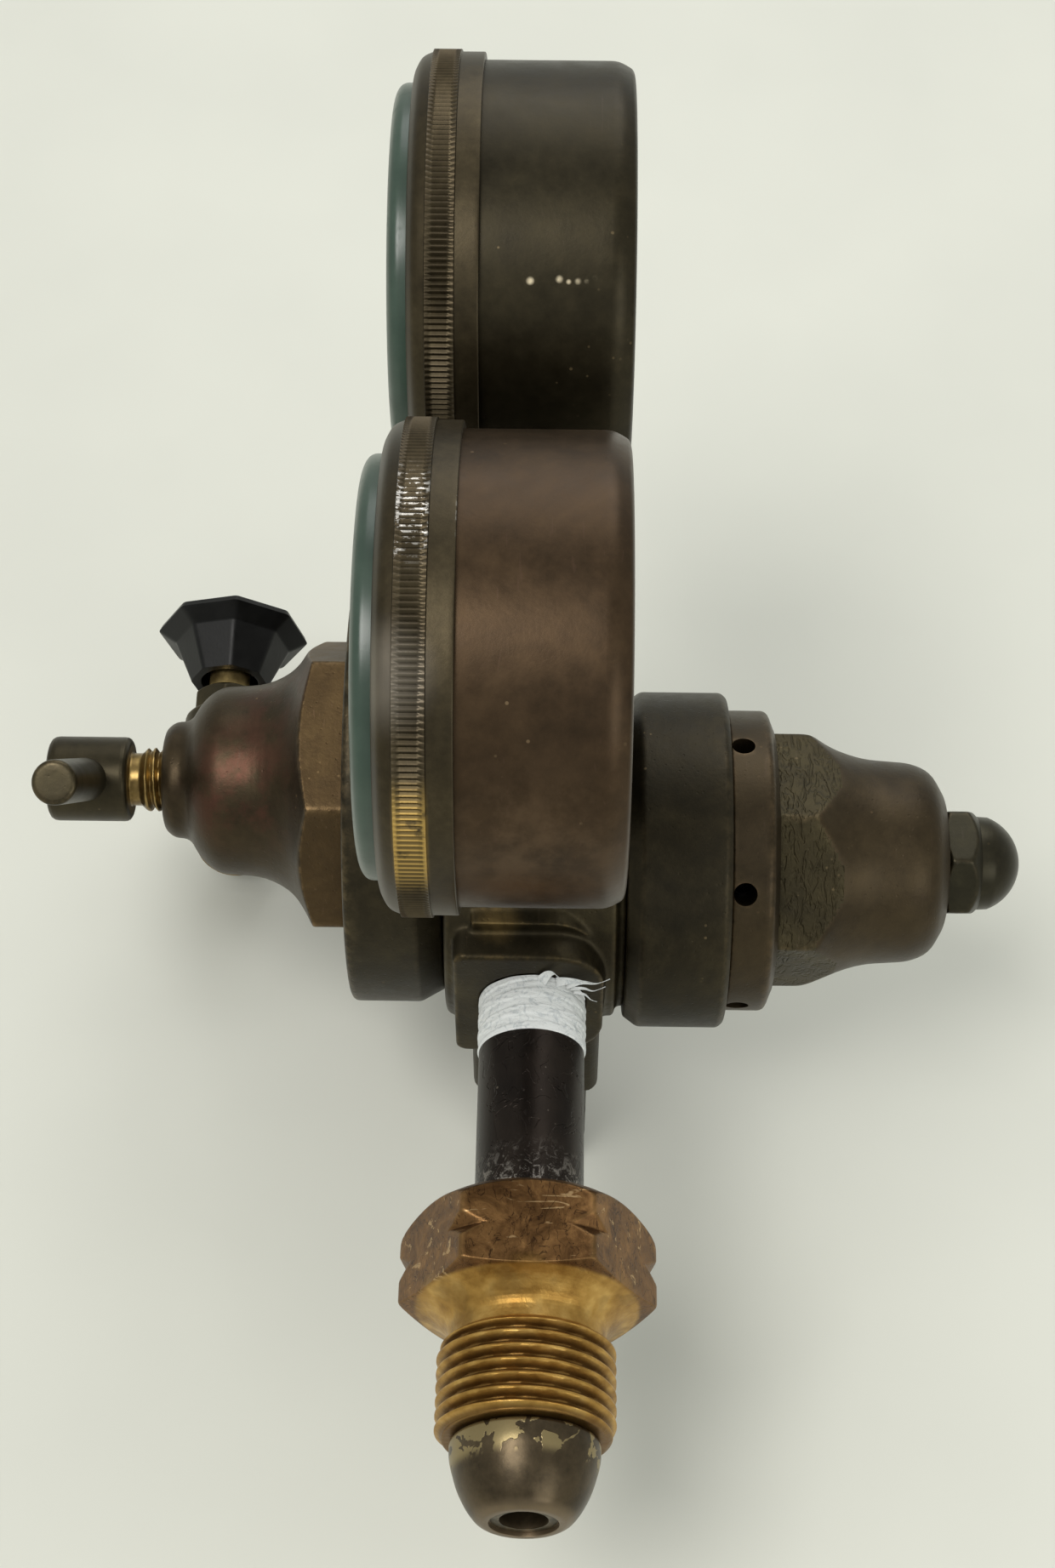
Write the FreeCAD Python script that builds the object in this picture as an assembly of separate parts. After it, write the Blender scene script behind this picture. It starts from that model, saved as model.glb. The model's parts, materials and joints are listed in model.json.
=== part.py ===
import FreeCAD, Part

import math
import os

# Two-stage fuel-gas cylinder regulator: brass body, two diaphragm stages, two Bourdon gauges,
# a T-handle adjusting screw, an outlet needle valve and a left-hand inlet nut on a bull-nose nipple.
#
# Frame: origin on the inlet axis at the middle of the nut's thread, +X out of the inlet nose,
# -Y towards the gauge faces and the T-handle, +Z up, gauges on top. Millimetres.

# ---------------------------------------------------------------- driving dimensions
THREAD_R = 11.24             # inlet nut thread, 0.885 in nominal
THREAD_PITCH = 25.4 / 14
BODY_X = -87.0               # body centre plane, between the two stages
STAGE_OFFSET = 6.4           # each stage axis stands this far from the body centre plane

FRONT_RING_R = 31.5
FRONT_HEX_AF = 38.1
BARREL_R = 22.2
REAR_RING_R = 23.66
REAR_HEX_AF = 31.75
ACORN_AF = 14.29

SCREW_R = 4.6                # adjusting screws, over the thread
SCREW_FIT = 0.06             # radial running clearance of a screw, stem or arbor
HANDLE_BAR_R = 3.1
HANDLE_BAR_LENGTH = 58.0
HANDLE_BAR_ANGLE = 53.2      # from +X towards +Z

STEM_R = 7.1                 # inlet nipple stem
NUT_AF = 28.575
NOSE_BORE_R = 3.0

GAUGE_R = 28.0               # over the knurled bezel
GAUGE_CENTRE_X = 32.25       # from the body centre plane
GAUGE_CENTRE_Z = 75.9
DELIVERY_GAUGE_SHIFT = (1.1, 0.9, -0.6)   # the far gauge is screwed in a little differently
GAUGE_FOOT = (6.0, 22.0)     # where the gauge socket's line meets the body, from its centre
SOCKET_Y = 1.5               # the socket stands this far behind the inlet axis
GAUGE_GEAR_RATIO = 6         # pointer turns per sector turn
PINION_TEETH = 12
GEAR_MODULE = 0.25

KNOB_AXIS = (-0.99, 0.0, 0.14)
HOSE_AXIS = (-0.14, 0.0, -0.99)        # square to the knob's axis
VALVE_CENTRE = (-27.0, -49.5, -25.5)   # from the body centre
OUTLET_START = (-5.5, -3.0, -10.0)     # where the outlet passage starts, from the body centre
OUTLET_TURN = (-36.5, -3.0, -26.0)     # where the elbow turns forward, clear of the front ring
OUTLET_BEND = (-36.5, -29.5, -26.0)    # where it leans in towards the valve
OUTLET_BOSS_END = 0.66       # share of the way from there to the elbow's turn
RELIEF_X = 19.5
RELIEF_Y = 0.5

GAP = 0.3                    # between faces that move past each other without a fit


# ---------------------------------------------------------------- frames and basic shapes
def vec(x, y, z):
    return FreeCAD.Vector(x, y, z)


def frame(origin, axis, right):
    """Placement whose local Z runs along axis and whose local X lies along right."""
    z_dir = vec(*axis).normalize()
    x_dir = vec(*right)
    x_dir = (x_dir - z_dir * x_dir.dot(z_dir)).normalize()
    y_dir = z_dir.cross(x_dir)
    matrix = FreeCAD.Matrix(x_dir.x, y_dir.x, z_dir.x, origin[0],
                            x_dir.y, y_dir.y, z_dir.y, origin[1],
                            x_dir.z, y_dir.z, z_dir.z, origin[2],
                            0, 0, 0, 1)
    return FreeCAD.Placement(matrix)


FRONT = frame((BODY_X - STAGE_OFFSET, 0, 0), (0, -1, 0), (1, 0, 0))
REAR = frame((BODY_X + STAGE_OFFSET, 0, 0), (0, 1, 0), (1, 0, 0))
INLET = frame((BODY_X, 0, 0), (1, 0, 0), (0, 1, 0))
RELIEF = frame((BODY_X + RELIEF_X, RELIEF_Y, 0), (0, 0, -1), (1, 0, 0))
VALVE = frame((BODY_X + VALVE_CENTRE[0], VALVE_CENTRE[1], VALVE_CENTRE[2]), KNOB_AXIS, (0, 0, 1))
HOSE = frame((BODY_X + VALVE_CENTRE[0], VALVE_CENTRE[1], VALVE_CENTRE[2]), HOSE_AXIS, (1, 0, 0))


def placed(shape, place):
    result = shape.copy()
    result.Placement = place.multiply(result.Placement)
    return result


def turned(outline):
    """Solid of revolution about local Z, closed through the axis.

    Each outline item is (along, radius), reached by a straight line, or
    (along, radius, via_along, via_radius), reached by an arc through the via point.
    """
    here = vec(0, 0, outline[0][0])
    edges = []
    for item in outline:
        there = vec(item[1], 0, item[0])
        if len(item) == 4:
            edges.append(Part.Arc(here, vec(item[3], 0, item[2]), there).toShape())
        elif there.distanceToPoint(here) > 1e-6:
            edges.append(Part.LineSegment(here, there).toShape())
        here = there
    end = vec(0, 0, outline[-1][0])
    if end.distanceToPoint(here) > 1e-6:
        edges.append(Part.LineSegment(here, end).toShape())
    edges.append(Part.LineSegment(end, vec(0, 0, outline[0][0])).toShape())
    return Part.Face(Part.Wire(edges)).revolve(vec(0, 0, 0), vec(0, 0, 1), 360)


def rod(radius, start, end):
    return Part.makeCylinder(radius, end - start, vec(0, 0, start), vec(0, 0, 1))


def tube(outer, inner, start, end):
    return rod(outer, start, end).cut(rod(inner, start - 1, end + 1))


def prism(sides, across_flats, start, end, corner_deg=0.0):
    """Regular prism along local Z with one corner at corner_deg from local X."""
    radius = across_flats / 2 / math.cos(math.pi / sides)
    points = []
    for index in range(sides + 1):
        angle = math.radians(corner_deg + index * 360 / sides)
        points.append(vec(radius * math.cos(angle), radius * math.sin(angle), start))
    return Part.Face(Part.makePolygon(points)).extrude(vec(0, 0, end - start))


def block(x0, y0, z0, x1, y1, z1):
    return Part.makeBox(x1 - x0, y1 - y0, z1 - z0, vec(x0, y0, z0))


def between(start, end, radius):
    """Round bar from one point to another."""
    a, b = vec(*start), vec(*end)
    return Part.makeCylinder(radius, a.distanceToPoint(b), a, b - a)


def coil(radius, wire_r, start, end, turns):
    """Compression spring about local Z, its wire centre line on the given radius."""
    path = Part.makeHelix((end - start) / turns, end - start, radius)
    path.translate(vec(0, 0, start))
    section = Part.Wire(Part.makeCircle(wire_r, vec(radius, 0, start), vec(0, 1, 0)))
    return Part.Wire(path).makePipeShell([section], True, True)


def grooved(outer, root, pitch, start, end):
    """Threaded stretch drawn as rings: crest flats at the outer radius, V roots between them."""
    flat = pitch / 8
    outline = [(start, outer)]
    count = int((end - start - flat) / pitch)
    for index in range(count):
        base = start + flat + index * pitch
        outline += [(base, outer), (base + (pitch - flat) / 2, root), (base + pitch - flat, outer)]
    outline.append((end, outer))
    return turned(outline)


# ---------------------------------------------------------------- body casting
CHAMBER_R = 21.0
FRONT_FLANGE_R = 27.5
FRONT_SEAT_Y = 18.3          # diaphragm seats, measured out from the inlet plane
REAR_SEAT_Y = 18.0
REAR_THREAD_R = 19.5
BOSS_FACE = 30.3
POCKET_R = 5.0
POCKET_FLOOR = -6.0
CHAMBER_FLOOR = 13.0
PORT_R = 9.0
SOCKET_START = 0.5           # the sockets' threads stop short of each other
LEG_END = -29.0              # the casting's lower leg, which takes the relief valve
RELIEF_THREAD_R = 6.0


def gauge_centre(side):
    """Dial centre and tilt of a gauge: side is 1 on the inlet side and -1 on the delivery side."""
    shift = DELIVERY_GAUGE_SHIFT if side < 0 else (0, 0, 0)
    x, z = side * GAUGE_CENTRE_X + shift[0], GAUGE_CENTRE_Z + shift[2]
    tilt = math.atan2(x - side * GAUGE_FOOT[0], z - GAUGE_FOOT[1])
    return (BODY_X + x, shift[1], z), tilt


def gauge_length():
    """From the foot of the socket to the dial centre; both gauges are the same size."""
    return math.hypot(GAUGE_CENTRE_X - GAUGE_FOOT[0], GAUGE_CENTRE_Z - GAUGE_FOOT[1])


def gauge_port(side):
    """Frame with its origin at the foot of a gauge socket and local Z along the socket."""
    centre, tilt = gauge_centre(side)
    up = (math.sin(tilt), 0, math.cos(tilt))
    length = gauge_length()
    foot = (centre[0] - up[0] * length, centre[1] + SOCKET_Y, centre[2] - up[2] * length)
    return frame(foot, up, (0, -1, 0))


def rounded_block(corner_a, corner_b, along, radii):
    """Box with its edges along one axis rounded: radii maps a test on an edge's centre to a radius."""
    shape = block(*corner_a, *corner_b)
    for test, radius in radii:
        chosen = []
        for edge in shape.Edges:
            start, end = edge.Vertexes[0].Point, edge.Vertexes[-1].Point
            run = end - start
            if abs(abs(run.dot(vec(*along))) - run.Length) < 1e-6 and test(edge.CenterOfMass):
                chosen.append(edge)
        shape = shape.makeFillet(radius, chosen)
    return shape


def make_body():
    flange = placed(rod(FRONT_FLANGE_R, 12.5, FRONT_SEAT_Y), FRONT)
    flange = flange.fuse(placed(rod(24.0, 5.0, 12.5), FRONT))
    barrel = placed(turned([(-12.1, 21.6), (-11.5, BARREL_R), (11.0, BARREL_R), (11.4, 21.8)]), REAR)
    neck = placed(turned([(11.0, 20.8), (12.6, 20.8), (12.6, REAR_THREAD_R),
                          (REAR_SEAT_Y, REAR_THREAD_R)]), REAR)
    boss = rounded_block((BODY_X + 5, -10.7, -13.3), (BODY_X + BOSS_FACE, 9.7, 11.4), (1, 0, 0),
                         [(lambda point: point.y > 0, 7.0), (lambda point: point.y < 0, 1.6)])
    ledge = rounded_block((BODY_X + 10, -8.3, 5.0), (BODY_X + 26.2, 8.5, 13.5), (1, 0, 0),
                          [(lambda point: point.y > 0 and point.z > 10, 6.0)])
    leg = rounded_block((BODY_X + 11, -8.6, LEG_END), (BODY_X + 28, 9.5, -10.0), (0, 0, 1),
                        [(lambda point: True, 2.0)])
    shape = flange.fuse([barrel, neck, boss, ledge, leg])
    for side in (-1, 1):
        port = turned([(-14, PORT_R), (5.0, PORT_R), (6.0, PORT_R - 1.0)])
        shape = shape.fuse(placed(port, gauge_port(side)))
    shape = shape.fuse(between(outlet_point(0.0), outlet_point(OUTLET_BOSS_END), 9.0))

    front_x, rear_x = BODY_X - STAGE_OFFSET, BODY_X + STAGE_OFFSET
    cuts = [
        placed(rod(CHAMBER_R, CHAMBER_FLOOR, FRONT_SEAT_Y + 1), FRONT),
        placed(rod(POCKET_R, POCKET_FLOOR, 20.0), FRONT),
        placed(rod(15.0, CHAMBER_FLOOR, REAR_SEAT_Y + 1), REAR),
        placed(rod(POCKET_R, POCKET_FLOOR, 20.0), REAR),
        placed(rod(STEM_R, 18.0, BOSS_FACE + 1), INLET),
        placed(rod(NOSE_BORE_R, STAGE_OFFSET, 19.0), INLET),
        placed(rod(RELIEF_THREAD_R, 18.0, 40.0), RELIEF),
        between((front_x, 0, 0), (front_x, 14, 0), 1.5),
        between((front_x, -16, -11), (front_x, -3, -11), 2.0),
        between((front_x, -3, -11), outlet_point(OUTLET_BOSS_END), 2.0),
        between((rear_x, SOCKET_Y, 0), (rear_x, SOCKET_Y, GAUGE_FOOT[1]), 1.5),
        between((front_x, -14, 15), (front_x, SOCKET_Y, GAUGE_FOOT[1]), 1.5),
        between((BODY_X + RELIEF_X, RELIEF_Y, -18.5), (BODY_X + RELIEF_X, RELIEF_Y, -7.5), 1.5),
    ]
    for side in (-1, 1):
        cuts.append(placed(rod(6.5, SOCKET_START, 7.0), gauge_port(side)))
    return shape.cut(cuts)


def outlet_point(share):
    """Point on the line of the outlet boss, which carries on into the elbow's turn."""
    run, drop = OUTLET_TURN[0] - OUTLET_START[0], OUTLET_TURN[2] - OUTLET_START[2]
    return BODY_X + OUTLET_START[0] + run * share, OUTLET_START[1], OUTLET_START[2] + drop * share


# ---------------------------------------------------------------- front (delivery) stage
FRONT_LIP_Y = 22.8
FRONT_RING_FACE = 25.8
NOSE_FACE = 53.4
SPRING_CAVITY_R = 10.5
CAVITY_END = 43.5
DIAPHRAGM_T = 1.2
SEAT_BOTTOM = 6.5


def make_front_ring():
    outer = turned([(12.5, 29.5), (16.0, FRONT_RING_R), (25.2, FRONT_RING_R),
                    (FRONT_RING_FACE, 30.9)])
    bore = rod(FRONT_FLANGE_R, 11.0, FRONT_LIP_Y)
    mouth = rod(22.2, 20.0, 30.0)
    return placed(outer.cut([bore, mouth]), FRONT)


def make_front_bonnet():
    start = FRONT_SEAT_Y + DIAPHRAGM_T
    skin = turned([(FRONT_LIP_Y, 24.0), (31.0, 22.6), (32.4, 19.9), (36.4, 14.9, 34.0, 16.9),
                   (41.4, 13.6, 38.8, 13.95), (45.4, 13.5), (47.6, 12.1, 46.9, 13.1),
                   (49.6, 8.8, 48.7, 10.0), (51.4, 8.3), (53.0, 7.4), (NOSE_FACE, 6.9)])
    wrench = prism(6, FRONT_HEX_AF, FRONT_LIP_Y, NOSE_FACE + 1, 43.8)
    flange = rod(FRONT_FLANGE_R, start, FRONT_LIP_Y)
    shape = skin.common(wrench).fuse(flange)
    shape = shape.cut([rod(17.0, start - 1, 27.0), rod(SPRING_CAVITY_R, 20.0, CAVITY_END),
                       rod(SCREW_R + SCREW_FIT, 40.0, 60.0)])
    return placed(shape, FRONT)


def make_diaphragm(seat, radius, hole, place):
    return placed(tube(radius, hole, seat, seat + DIAPHRAGM_T), place)


def make_diaphragm_plate(seat, radius, spring_r, place):
    """Plate on the spring side with a stud through the diaphragm that pushes the valve stem."""
    base = seat + DIAPHRAGM_T + GAP
    plate = rod(radius, base, base + 1.8).fuse(rod(spring_r, base, base + 3.0))
    stud = rod(3.0, seat - 1.6, base).fuse(rod(6.0, seat - 1.6, seat - GAP))
    return placed(plate.fuse(stud), place)


def make_seat(bottom, top, place):
    """Nozzle screwed into the body web; its lower lip is the valve seat."""
    shape = rod(POCKET_R, bottom, top).fuse(rod(3.6, bottom - 1.2, bottom))
    shape = shape.fuse(prism(6, 11.0, top, top + 2.2))
    return placed(shape.cut(rod(2.2, bottom - 3, top + 4)), place)


def make_poppet(seat_bottom, tip, place):
    """Valve head under the nozzle, with a thin push pin up through it."""
    top = seat_bottom - 1.2 - GAP
    head = rod(4.4, top - 4.3, top)
    pin = rod(1.1, top, tip)
    guide = rod(2.0, top - 7.5, top - 4.3)
    return placed(head.fuse([pin, guide]), place)


def make_spring_button(start, end, place):
    cup = turned([(start, 9.9), (end - 0.6, 9.9), (end, 9.3)])
    cup = cup.fuse(rod(6.2, start - 2.0, start))
    return placed(cup.cut(rod(2.6, end - 1.2, end + 1)), place)


BUTTON_START = 38.6
BUTTON_END = 41.8
HUB_START = 58.5
HUB_END = 70.2
BAR_Y = 64.4


def make_adjusting_screw():
    tip = BUTTON_END + GAP
    shape = turned([(BUTTON_END - 1.2 + GAP, 1.4), (tip, 2.3), (tip, 3.6), (tip + 1.0, SCREW_R),
                    (56.0, SCREW_R), (56.9, 3.8), (HUB_START, 3.8), (HUB_START, 5.3),
                    (HUB_START + 0.9, 6.1, HUB_START + 0.25, 5.85), (HUB_END - 1.3, 6.1),
                    (HUB_END, 4.9, HUB_END - 0.35, 5.8)])
    bar_hole = placed(rod(HANDLE_BAR_R, -10, 10), frame((0, 0, BAR_Y), bar_direction(), (0, 0, 1)))
    return placed(shape.cut(bar_hole), FRONT)


def bar_direction():
    angle = math.radians(HANDLE_BAR_ANGLE)
    return math.cos(angle), math.sin(angle), 0


def make_handle_bar():
    half = HANDLE_BAR_LENGTH / 2
    bar = turned([(-half, HANDLE_BAR_R - 0.9), (-half + 0.9, HANDLE_BAR_R, -half + 0.26, HANDLE_BAR_R - 0.26),
                  (half - 0.9, HANDLE_BAR_R), (half, HANDLE_BAR_R - 0.9, half - 0.26, HANDLE_BAR_R - 0.26)])
    across = frame((0, 0, BAR_Y), bar_direction(), (0, 0, 1))
    return placed(placed(bar, across), FRONT)


# ---------------------------------------------------------------- rear (high-pressure) stage
REAR_FLANGE_Y = 26.6
REAR_CAVITY_R = 11.0
REAR_CAVITY_END = 47.5
REAR_FACE = 57.6
VENT_R = 1.6
VENT_Y = 28.4


def make_rear_ring():
    outer = turned([(12.6, 22.2), (14.6, REAR_RING_R), (25.9, REAR_RING_R), (REAR_FLANGE_Y, 23.0)])
    return placed(outer.cut(rod(REAR_THREAD_R, 10.0, 30.0)), REAR)


def make_rear_bonnet():
    start = REAR_SEAT_Y + DIAPHRAGM_T
    skirt = rod(REAR_THREAD_R, start, REAR_FLANGE_Y)
    flange = turned([(REAR_FLANGE_Y, 21.2), (32.2, 21.2), (33.4, 18.2, 33.0, 20.2)])
    skin = turned([(33.0, 19.0), (38.0, 18.4), (45.2, 14.9, 41.0, 16.5), (49.0, 14.1, 47.0, 14.35),
                   (52.6, 14.0), (55.4, 12.9, 54.4, 13.75), (REAR_FACE, 9.0)])
    shape = flange.fuse([skirt, skin.common(prism(6, REAR_HEX_AF, 33.0, 60.0, -14.7))])
    shape = shape.cut([rod(13.5, start - 1, 31.0), rod(REAR_CAVITY_R, 25.0, REAR_CAVITY_END),
                       rod(SCREW_R, 40.0, 60.0)])
    for index in range(6):
        angle = math.radians(-43.4 + 60 * index)
        outward = vec(math.cos(angle), math.sin(angle), 0)
        shape = shape.cut(Part.makeCylinder(VENT_R, 14.0, vec(0, 0, VENT_Y) + outward * 11.0, outward))
    return placed(shape, REAR)


def make_rear_adjusting_screw():
    shape = rod(SCREW_R, 43.5, 62.0)
    slot = block(-0.6, -6, 60.5, 0.6, 6, 63)
    return placed(shape.cut(slot), REAR)


def make_acorn_cap():
    dome_r = 7.0
    dome_centre = 61.5
    side = ACORN_AF / 2
    rim = dome_centre + math.sqrt(dome_r ** 2 - (side - 0.5) ** 2)
    slant = dome_r * math.sin(math.pi / 4)
    hexagon = prism(6, ACORN_AF, REAR_FACE, 61.8, -57.4)
    chamfer = turned([(REAR_FACE, side + 0.3), (REAR_FACE + 0.6, 8.4), (60.8, 8.4), (61.8, side)])
    dome = turned([(REAR_FACE + 0.1, side - 0.5), (rim, side - 0.5),
                   (dome_centre + dome_r, 0.0, dome_centre + slant, slant)])
    shape = hexagon.common(chamfer).fuse(dome)
    return placed(shape.cut(rod(SCREW_R, 55.0, 62.6)), REAR)


# ---------------------------------------------------------------- inlet nipple, nose and nut
NUT_REAR = 63.3
NUT_SHOULDER = 75.5
NUT_FRONT = 92.8
THREAD_START = 81.1
TAPE_END = 38.5
NOSE_END = 103.1
INSERT_R = 4.28


def make_inlet_nipple():
    nose = NUT_FRONT + GAP
    shape = turned([(18.0, STEM_R), (nose, STEM_R), (nose, 9.1), (nose + 0.4, 9.35),
                    (95.2, 9.35), (100.9, 7.3, 98.6, 8.5), (102.5, 6.1), (NOSE_END, 5.0)])
    shape = shape.cut([rod(NOSE_BORE_R, 10.0, 110.0), rod(INSERT_R, 97.0, 110.0)])
    return placed(shape, INLET)


def make_nose_insert():
    """Sintered filter and seat ring pressed into the nose."""
    ring = tube(INSERT_R, NOSE_BORE_R, 97.0, NOSE_END - 0.5)
    return placed(ring, INLET)


def make_thread_tape():
    return placed(tube(STEM_R + 0.25, STEM_R, BOSS_FACE, TAPE_END), INLET)


def make_inlet_nut():
    corner = NUT_AF / math.sqrt(3)
    notch = 70.2
    hexagon = prism(6, NUT_AF, NUT_REAR, NUT_SHOULDER)
    limit = turned([(NUT_REAR, 12.8), (66.0, corner + 0.1, 64.2, 15.2), (notch - 1.3, corner + 0.1),
                    (notch, 15.3), (notch + 1.3, corner + 0.1), (74.7, corner + 0.1),
                    (NUT_SHOULDER, 14.2)])
    neck = turned([(NUT_SHOULDER, 13.9), (78.4, 9.95, 76.4, 10.9), (THREAD_START, 9.95)])
    thread = grooved(THREAD_R, THREAD_R - 1.1, THREAD_PITCH, THREAD_START, NUT_FRONT)
    shape = hexagon.common(limit).fuse([neck, thread])
    return placed(shape.cut(rod(STEM_R + SCREW_FIT, 60.0, 95.0)), INLET)


# ---------------------------------------------------------------- relief valve
RELIEF_R = 7.6
RELIEF_JOINT = 48.0
RELIEF_END = 57.0
RELIEF_SEAT = 31.0
RELIEF_BORE_R = 5.6


def make_relief_body():
    shape = turned([(18.0, RELIEF_THREAD_R), (-LEG_END, RELIEF_THREAD_R), (-LEG_END, RELIEF_R),
                    (RELIEF_JOINT - 0.6, RELIEF_R), (RELIEF_JOINT, RELIEF_R - 0.6)])
    return placed(shape.cut([rod(2.0, 10.0, 50.0), rod(RELIEF_BORE_R, RELIEF_SEAT, 50.0)]), RELIEF)


def make_relief_cap():
    shape = turned([(RELIEF_JOINT - 6.0, RELIEF_BORE_R), (RELIEF_JOINT, RELIEF_BORE_R),
                    (RELIEF_JOINT, RELIEF_R - 0.6), (RELIEF_JOINT + 0.6, RELIEF_R),
                    (RELIEF_END - 1.0, RELIEF_R), (RELIEF_END, RELIEF_R - 0.8)])
    return placed(shape.cut([rod(4.5, 30.0, 54.0), rod(2.0, 50.0, 60.0)]), RELIEF)


def make_relief_disc():
    seat = RELIEF_SEAT + GAP
    return placed(rod(4.2, seat, seat + 2.7).fuse(rod(2.0, seat + 2.7, seat + 7.0)), RELIEF)


def make_relief_spring():
    return placed(coil(3.2, 0.5, RELIEF_SEAT + 3.6, 53.4, 9), RELIEF)


# ---------------------------------------------------------------- outlet valve
VALVE_INLET = 11.5           # length of the valve body's inlet arm
GLAND_SEAT = 9.0
GLAND_R = 4.6
HOSE_SEAT = 11.0
HOSE_THREAD_R = 7.14
HOSE_THREAD_PITCH = 25.4 / 18
HOSE_THREAD_LENGTH = 12.0
STEM_GUIDE_R = 2.5
NEEDLE_R = 2.0
KNOB_OPEN = 15.4             # along the stem: the knob's open end,
KNOB_SEAT = 18.0             # the shoulder that its hub rests on,
KNOB_BEVEL = 22.2            # where the rim's bevel starts,
KNOB_RIM = 24.0              # its widest place
KNOB_FACE = 25.0             # and its outer face
KNOB_OPEN_AF = 11.5
KNOB_BEVEL_AF = 17.0
KNOB_RIM_AF = 22.2
KNOB_FACE_AF = 21.4
KNOB_WALL = 1.4
KNOB_CORNER = 8.0            # degrees from the top to its first corner


def valve_point(x, y, z):
    return BODY_X + VALVE_CENTRE[0] + x, VALVE_CENTRE[1] + y, VALVE_CENTRE[2] + z


def make_outlet_elbow():
    bend = BODY_X + OUTLET_BEND[0], OUTLET_BEND[1], OUTLET_BEND[2]
    stop = valve_point(0, VALVE_INLET, 0)
    line = [outlet_point(OUTLET_BOSS_END), outlet_point(1.0), bend, stop]
    past_joint = between(stop, valve_point(0, 0, 0), 12.0)
    return bent_bar(line, 6.2).cut([bent_bar(line, 2.5), past_joint])


def bent_bar(line, radius):
    """Round bar along a line of points, with a rounded turn at each and a rounded far end."""
    runs = [between(start, end, radius) for start, end in zip(line, line[1:])]
    turns = [Part.makeSphere(radius, vec(*point)) for point in line[1:]]
    return runs[0].fuse(runs[1:] + turns)


def make_valve_body():
    barrel = placed(turned([(-6.0, 5.7), (-5.2, 6.5), (8.3, 6.5), (GLAND_SEAT, 5.9)]), VALVE)
    inlet = between(valve_point(0, VALVE_INLET, 0), valve_point(0, 0, 0), 6.6)
    outlet = placed(rod(6.2, 0.0, HOSE_SEAT), HOSE)
    shape = barrel.fuse([inlet, outlet])
    needle_bore = placed(rod(NEEDLE_R + SCREW_FIT, -4.2, 3.1), VALVE)
    gland_bore = placed(rod(GLAND_R, 3.0, 14.0), VALVE)
    feed = between(valve_point(0, VALVE_INLET + 1, 0), valve_point(0, 1.0, 0), 1.8)
    drain = placed(rod(1.8, 1.0, HOSE_SEAT + 1), HOSE)
    return shape.cut([needle_bore, gland_bore, feed, drain])


def make_valve_gland():
    shape = rod(GLAND_R, 4.0, GLAND_SEAT).fuse(prism(6, 9.525, GLAND_SEAT, GLAND_SEAT + 4.0))
    return placed(shape.cut(rod(STEM_GUIDE_R + SCREW_FIT, 2.0, 20.0)), VALVE)


def make_outlet_nipple():
    """Male hose connection below the valve: 9/16-18 left-hand thread with a coned seat."""
    base = HOSE_SEAT + 2.5
    hexagon = prism(6, 15.0, HOSE_SEAT, base)
    thread = grooved(HOSE_THREAD_R, HOSE_THREAD_R - 0.8, HOSE_THREAD_PITCH, base, base + HOSE_THREAD_LENGTH)
    shape = hexagon.fuse(thread)
    seat = turned([(base + HOSE_THREAD_LENGTH - 3.0, 2.5), (base + HOSE_THREAD_LENGTH, 5.5)])
    return placed(shape.cut([rod(1.8, 5.0, 40.0), seat]), HOSE)


def make_valve_needle():
    shape = turned([(-3.6, 0.6), (-1.0, NEEDLE_R), (3.2, NEEDLE_R)])
    return placed(shape, VALVE)


def make_valve_stem():
    collar = GLAND_SEAT + 4.0 + GAP
    shape = turned([(3.2 + GAP, STEM_GUIDE_R), (collar, STEM_GUIDE_R), (collar, 3.2), (KNOB_SEAT, 3.2),
                    (KNOB_SEAT, 1.9), (KNOB_FACE + 1.0, 1.9)])
    return placed(shape, VALVE)


def make_valve_knob():
    """Octagonal cup with a bevelled rim, open towards the valve, its hub on the stem's shoulder."""
    cone = octagon_frustum(KNOB_OPEN_AF, KNOB_BEVEL_AF, KNOB_OPEN, KNOB_BEVEL)
    bevel = octagon_frustum(KNOB_BEVEL_AF, KNOB_RIM_AF, KNOB_BEVEL, KNOB_RIM)
    face = octagon_frustum(KNOB_RIM_AF, KNOB_FACE_AF, KNOB_RIM, KNOB_FACE)
    hollow = octagon_frustum(KNOB_OPEN_AF - 2 * KNOB_WALL, KNOB_BEVEL_AF - 2 * KNOB_WALL,
                             KNOB_OPEN - 0.1, KNOB_BEVEL)
    shape = cone.fuse([bevel, face]).cut(hollow).fuse(rod(4.0, KNOB_SEAT, KNOB_BEVEL + 0.5))
    return placed(shape.cut([rod(1.9, 0, 60), rod(3.6, KNOB_FACE - 1.2, 60)]), VALVE)


def octagon_frustum(start_af, end_af, start, end):
    wires = []
    for across_flats, along in ((start_af, start), (end_af, end)):
        radius = across_flats / 2 / math.cos(math.pi / 8)
        turns = [math.radians(KNOB_CORNER + 45 * index) for index in range(9)]
        points = [vec(radius * math.cos(turn), radius * math.sin(turn), along) for turn in turns]
        wires.append(Part.makePolygon(points))
    return Part.makeLoft(wires, True, True)


def make_knob_nut():
    shape = prism(6, 5.5, KNOB_FACE - 1.2, KNOB_FACE + 1.0)
    return placed(shape.cut(rod(1.9, 0, 60)), VALVE)


# ---------------------------------------------------------------- gauges
# Gauge frame: origin at the centre of the dial axis, -Y out of the dial, +Z up.
CASE_R = 26.75
SHANK_HALF = 7.1
CASE_BACK = 10.6
CASE_RIM = -12.0
TUBE_MEAN_R = 18.9
WORKS_BLOCK_TOP = -15.2
SECTOR_PIVOT_Z = -(PINION_TEETH * (1 + GAUGE_GEAR_RATIO)) * GEAR_MODULE / 2
SECTOR_TAIL = 6.0
SECTOR_TAIL_DEG = -20.0
TIP_X, TIP_Z = 15.4, -8.9

TO_DIAL = frame((0, 0, 0), (0, -1, 0), (1, 0, 0))     # local Z out of the dial, local Y up


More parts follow.
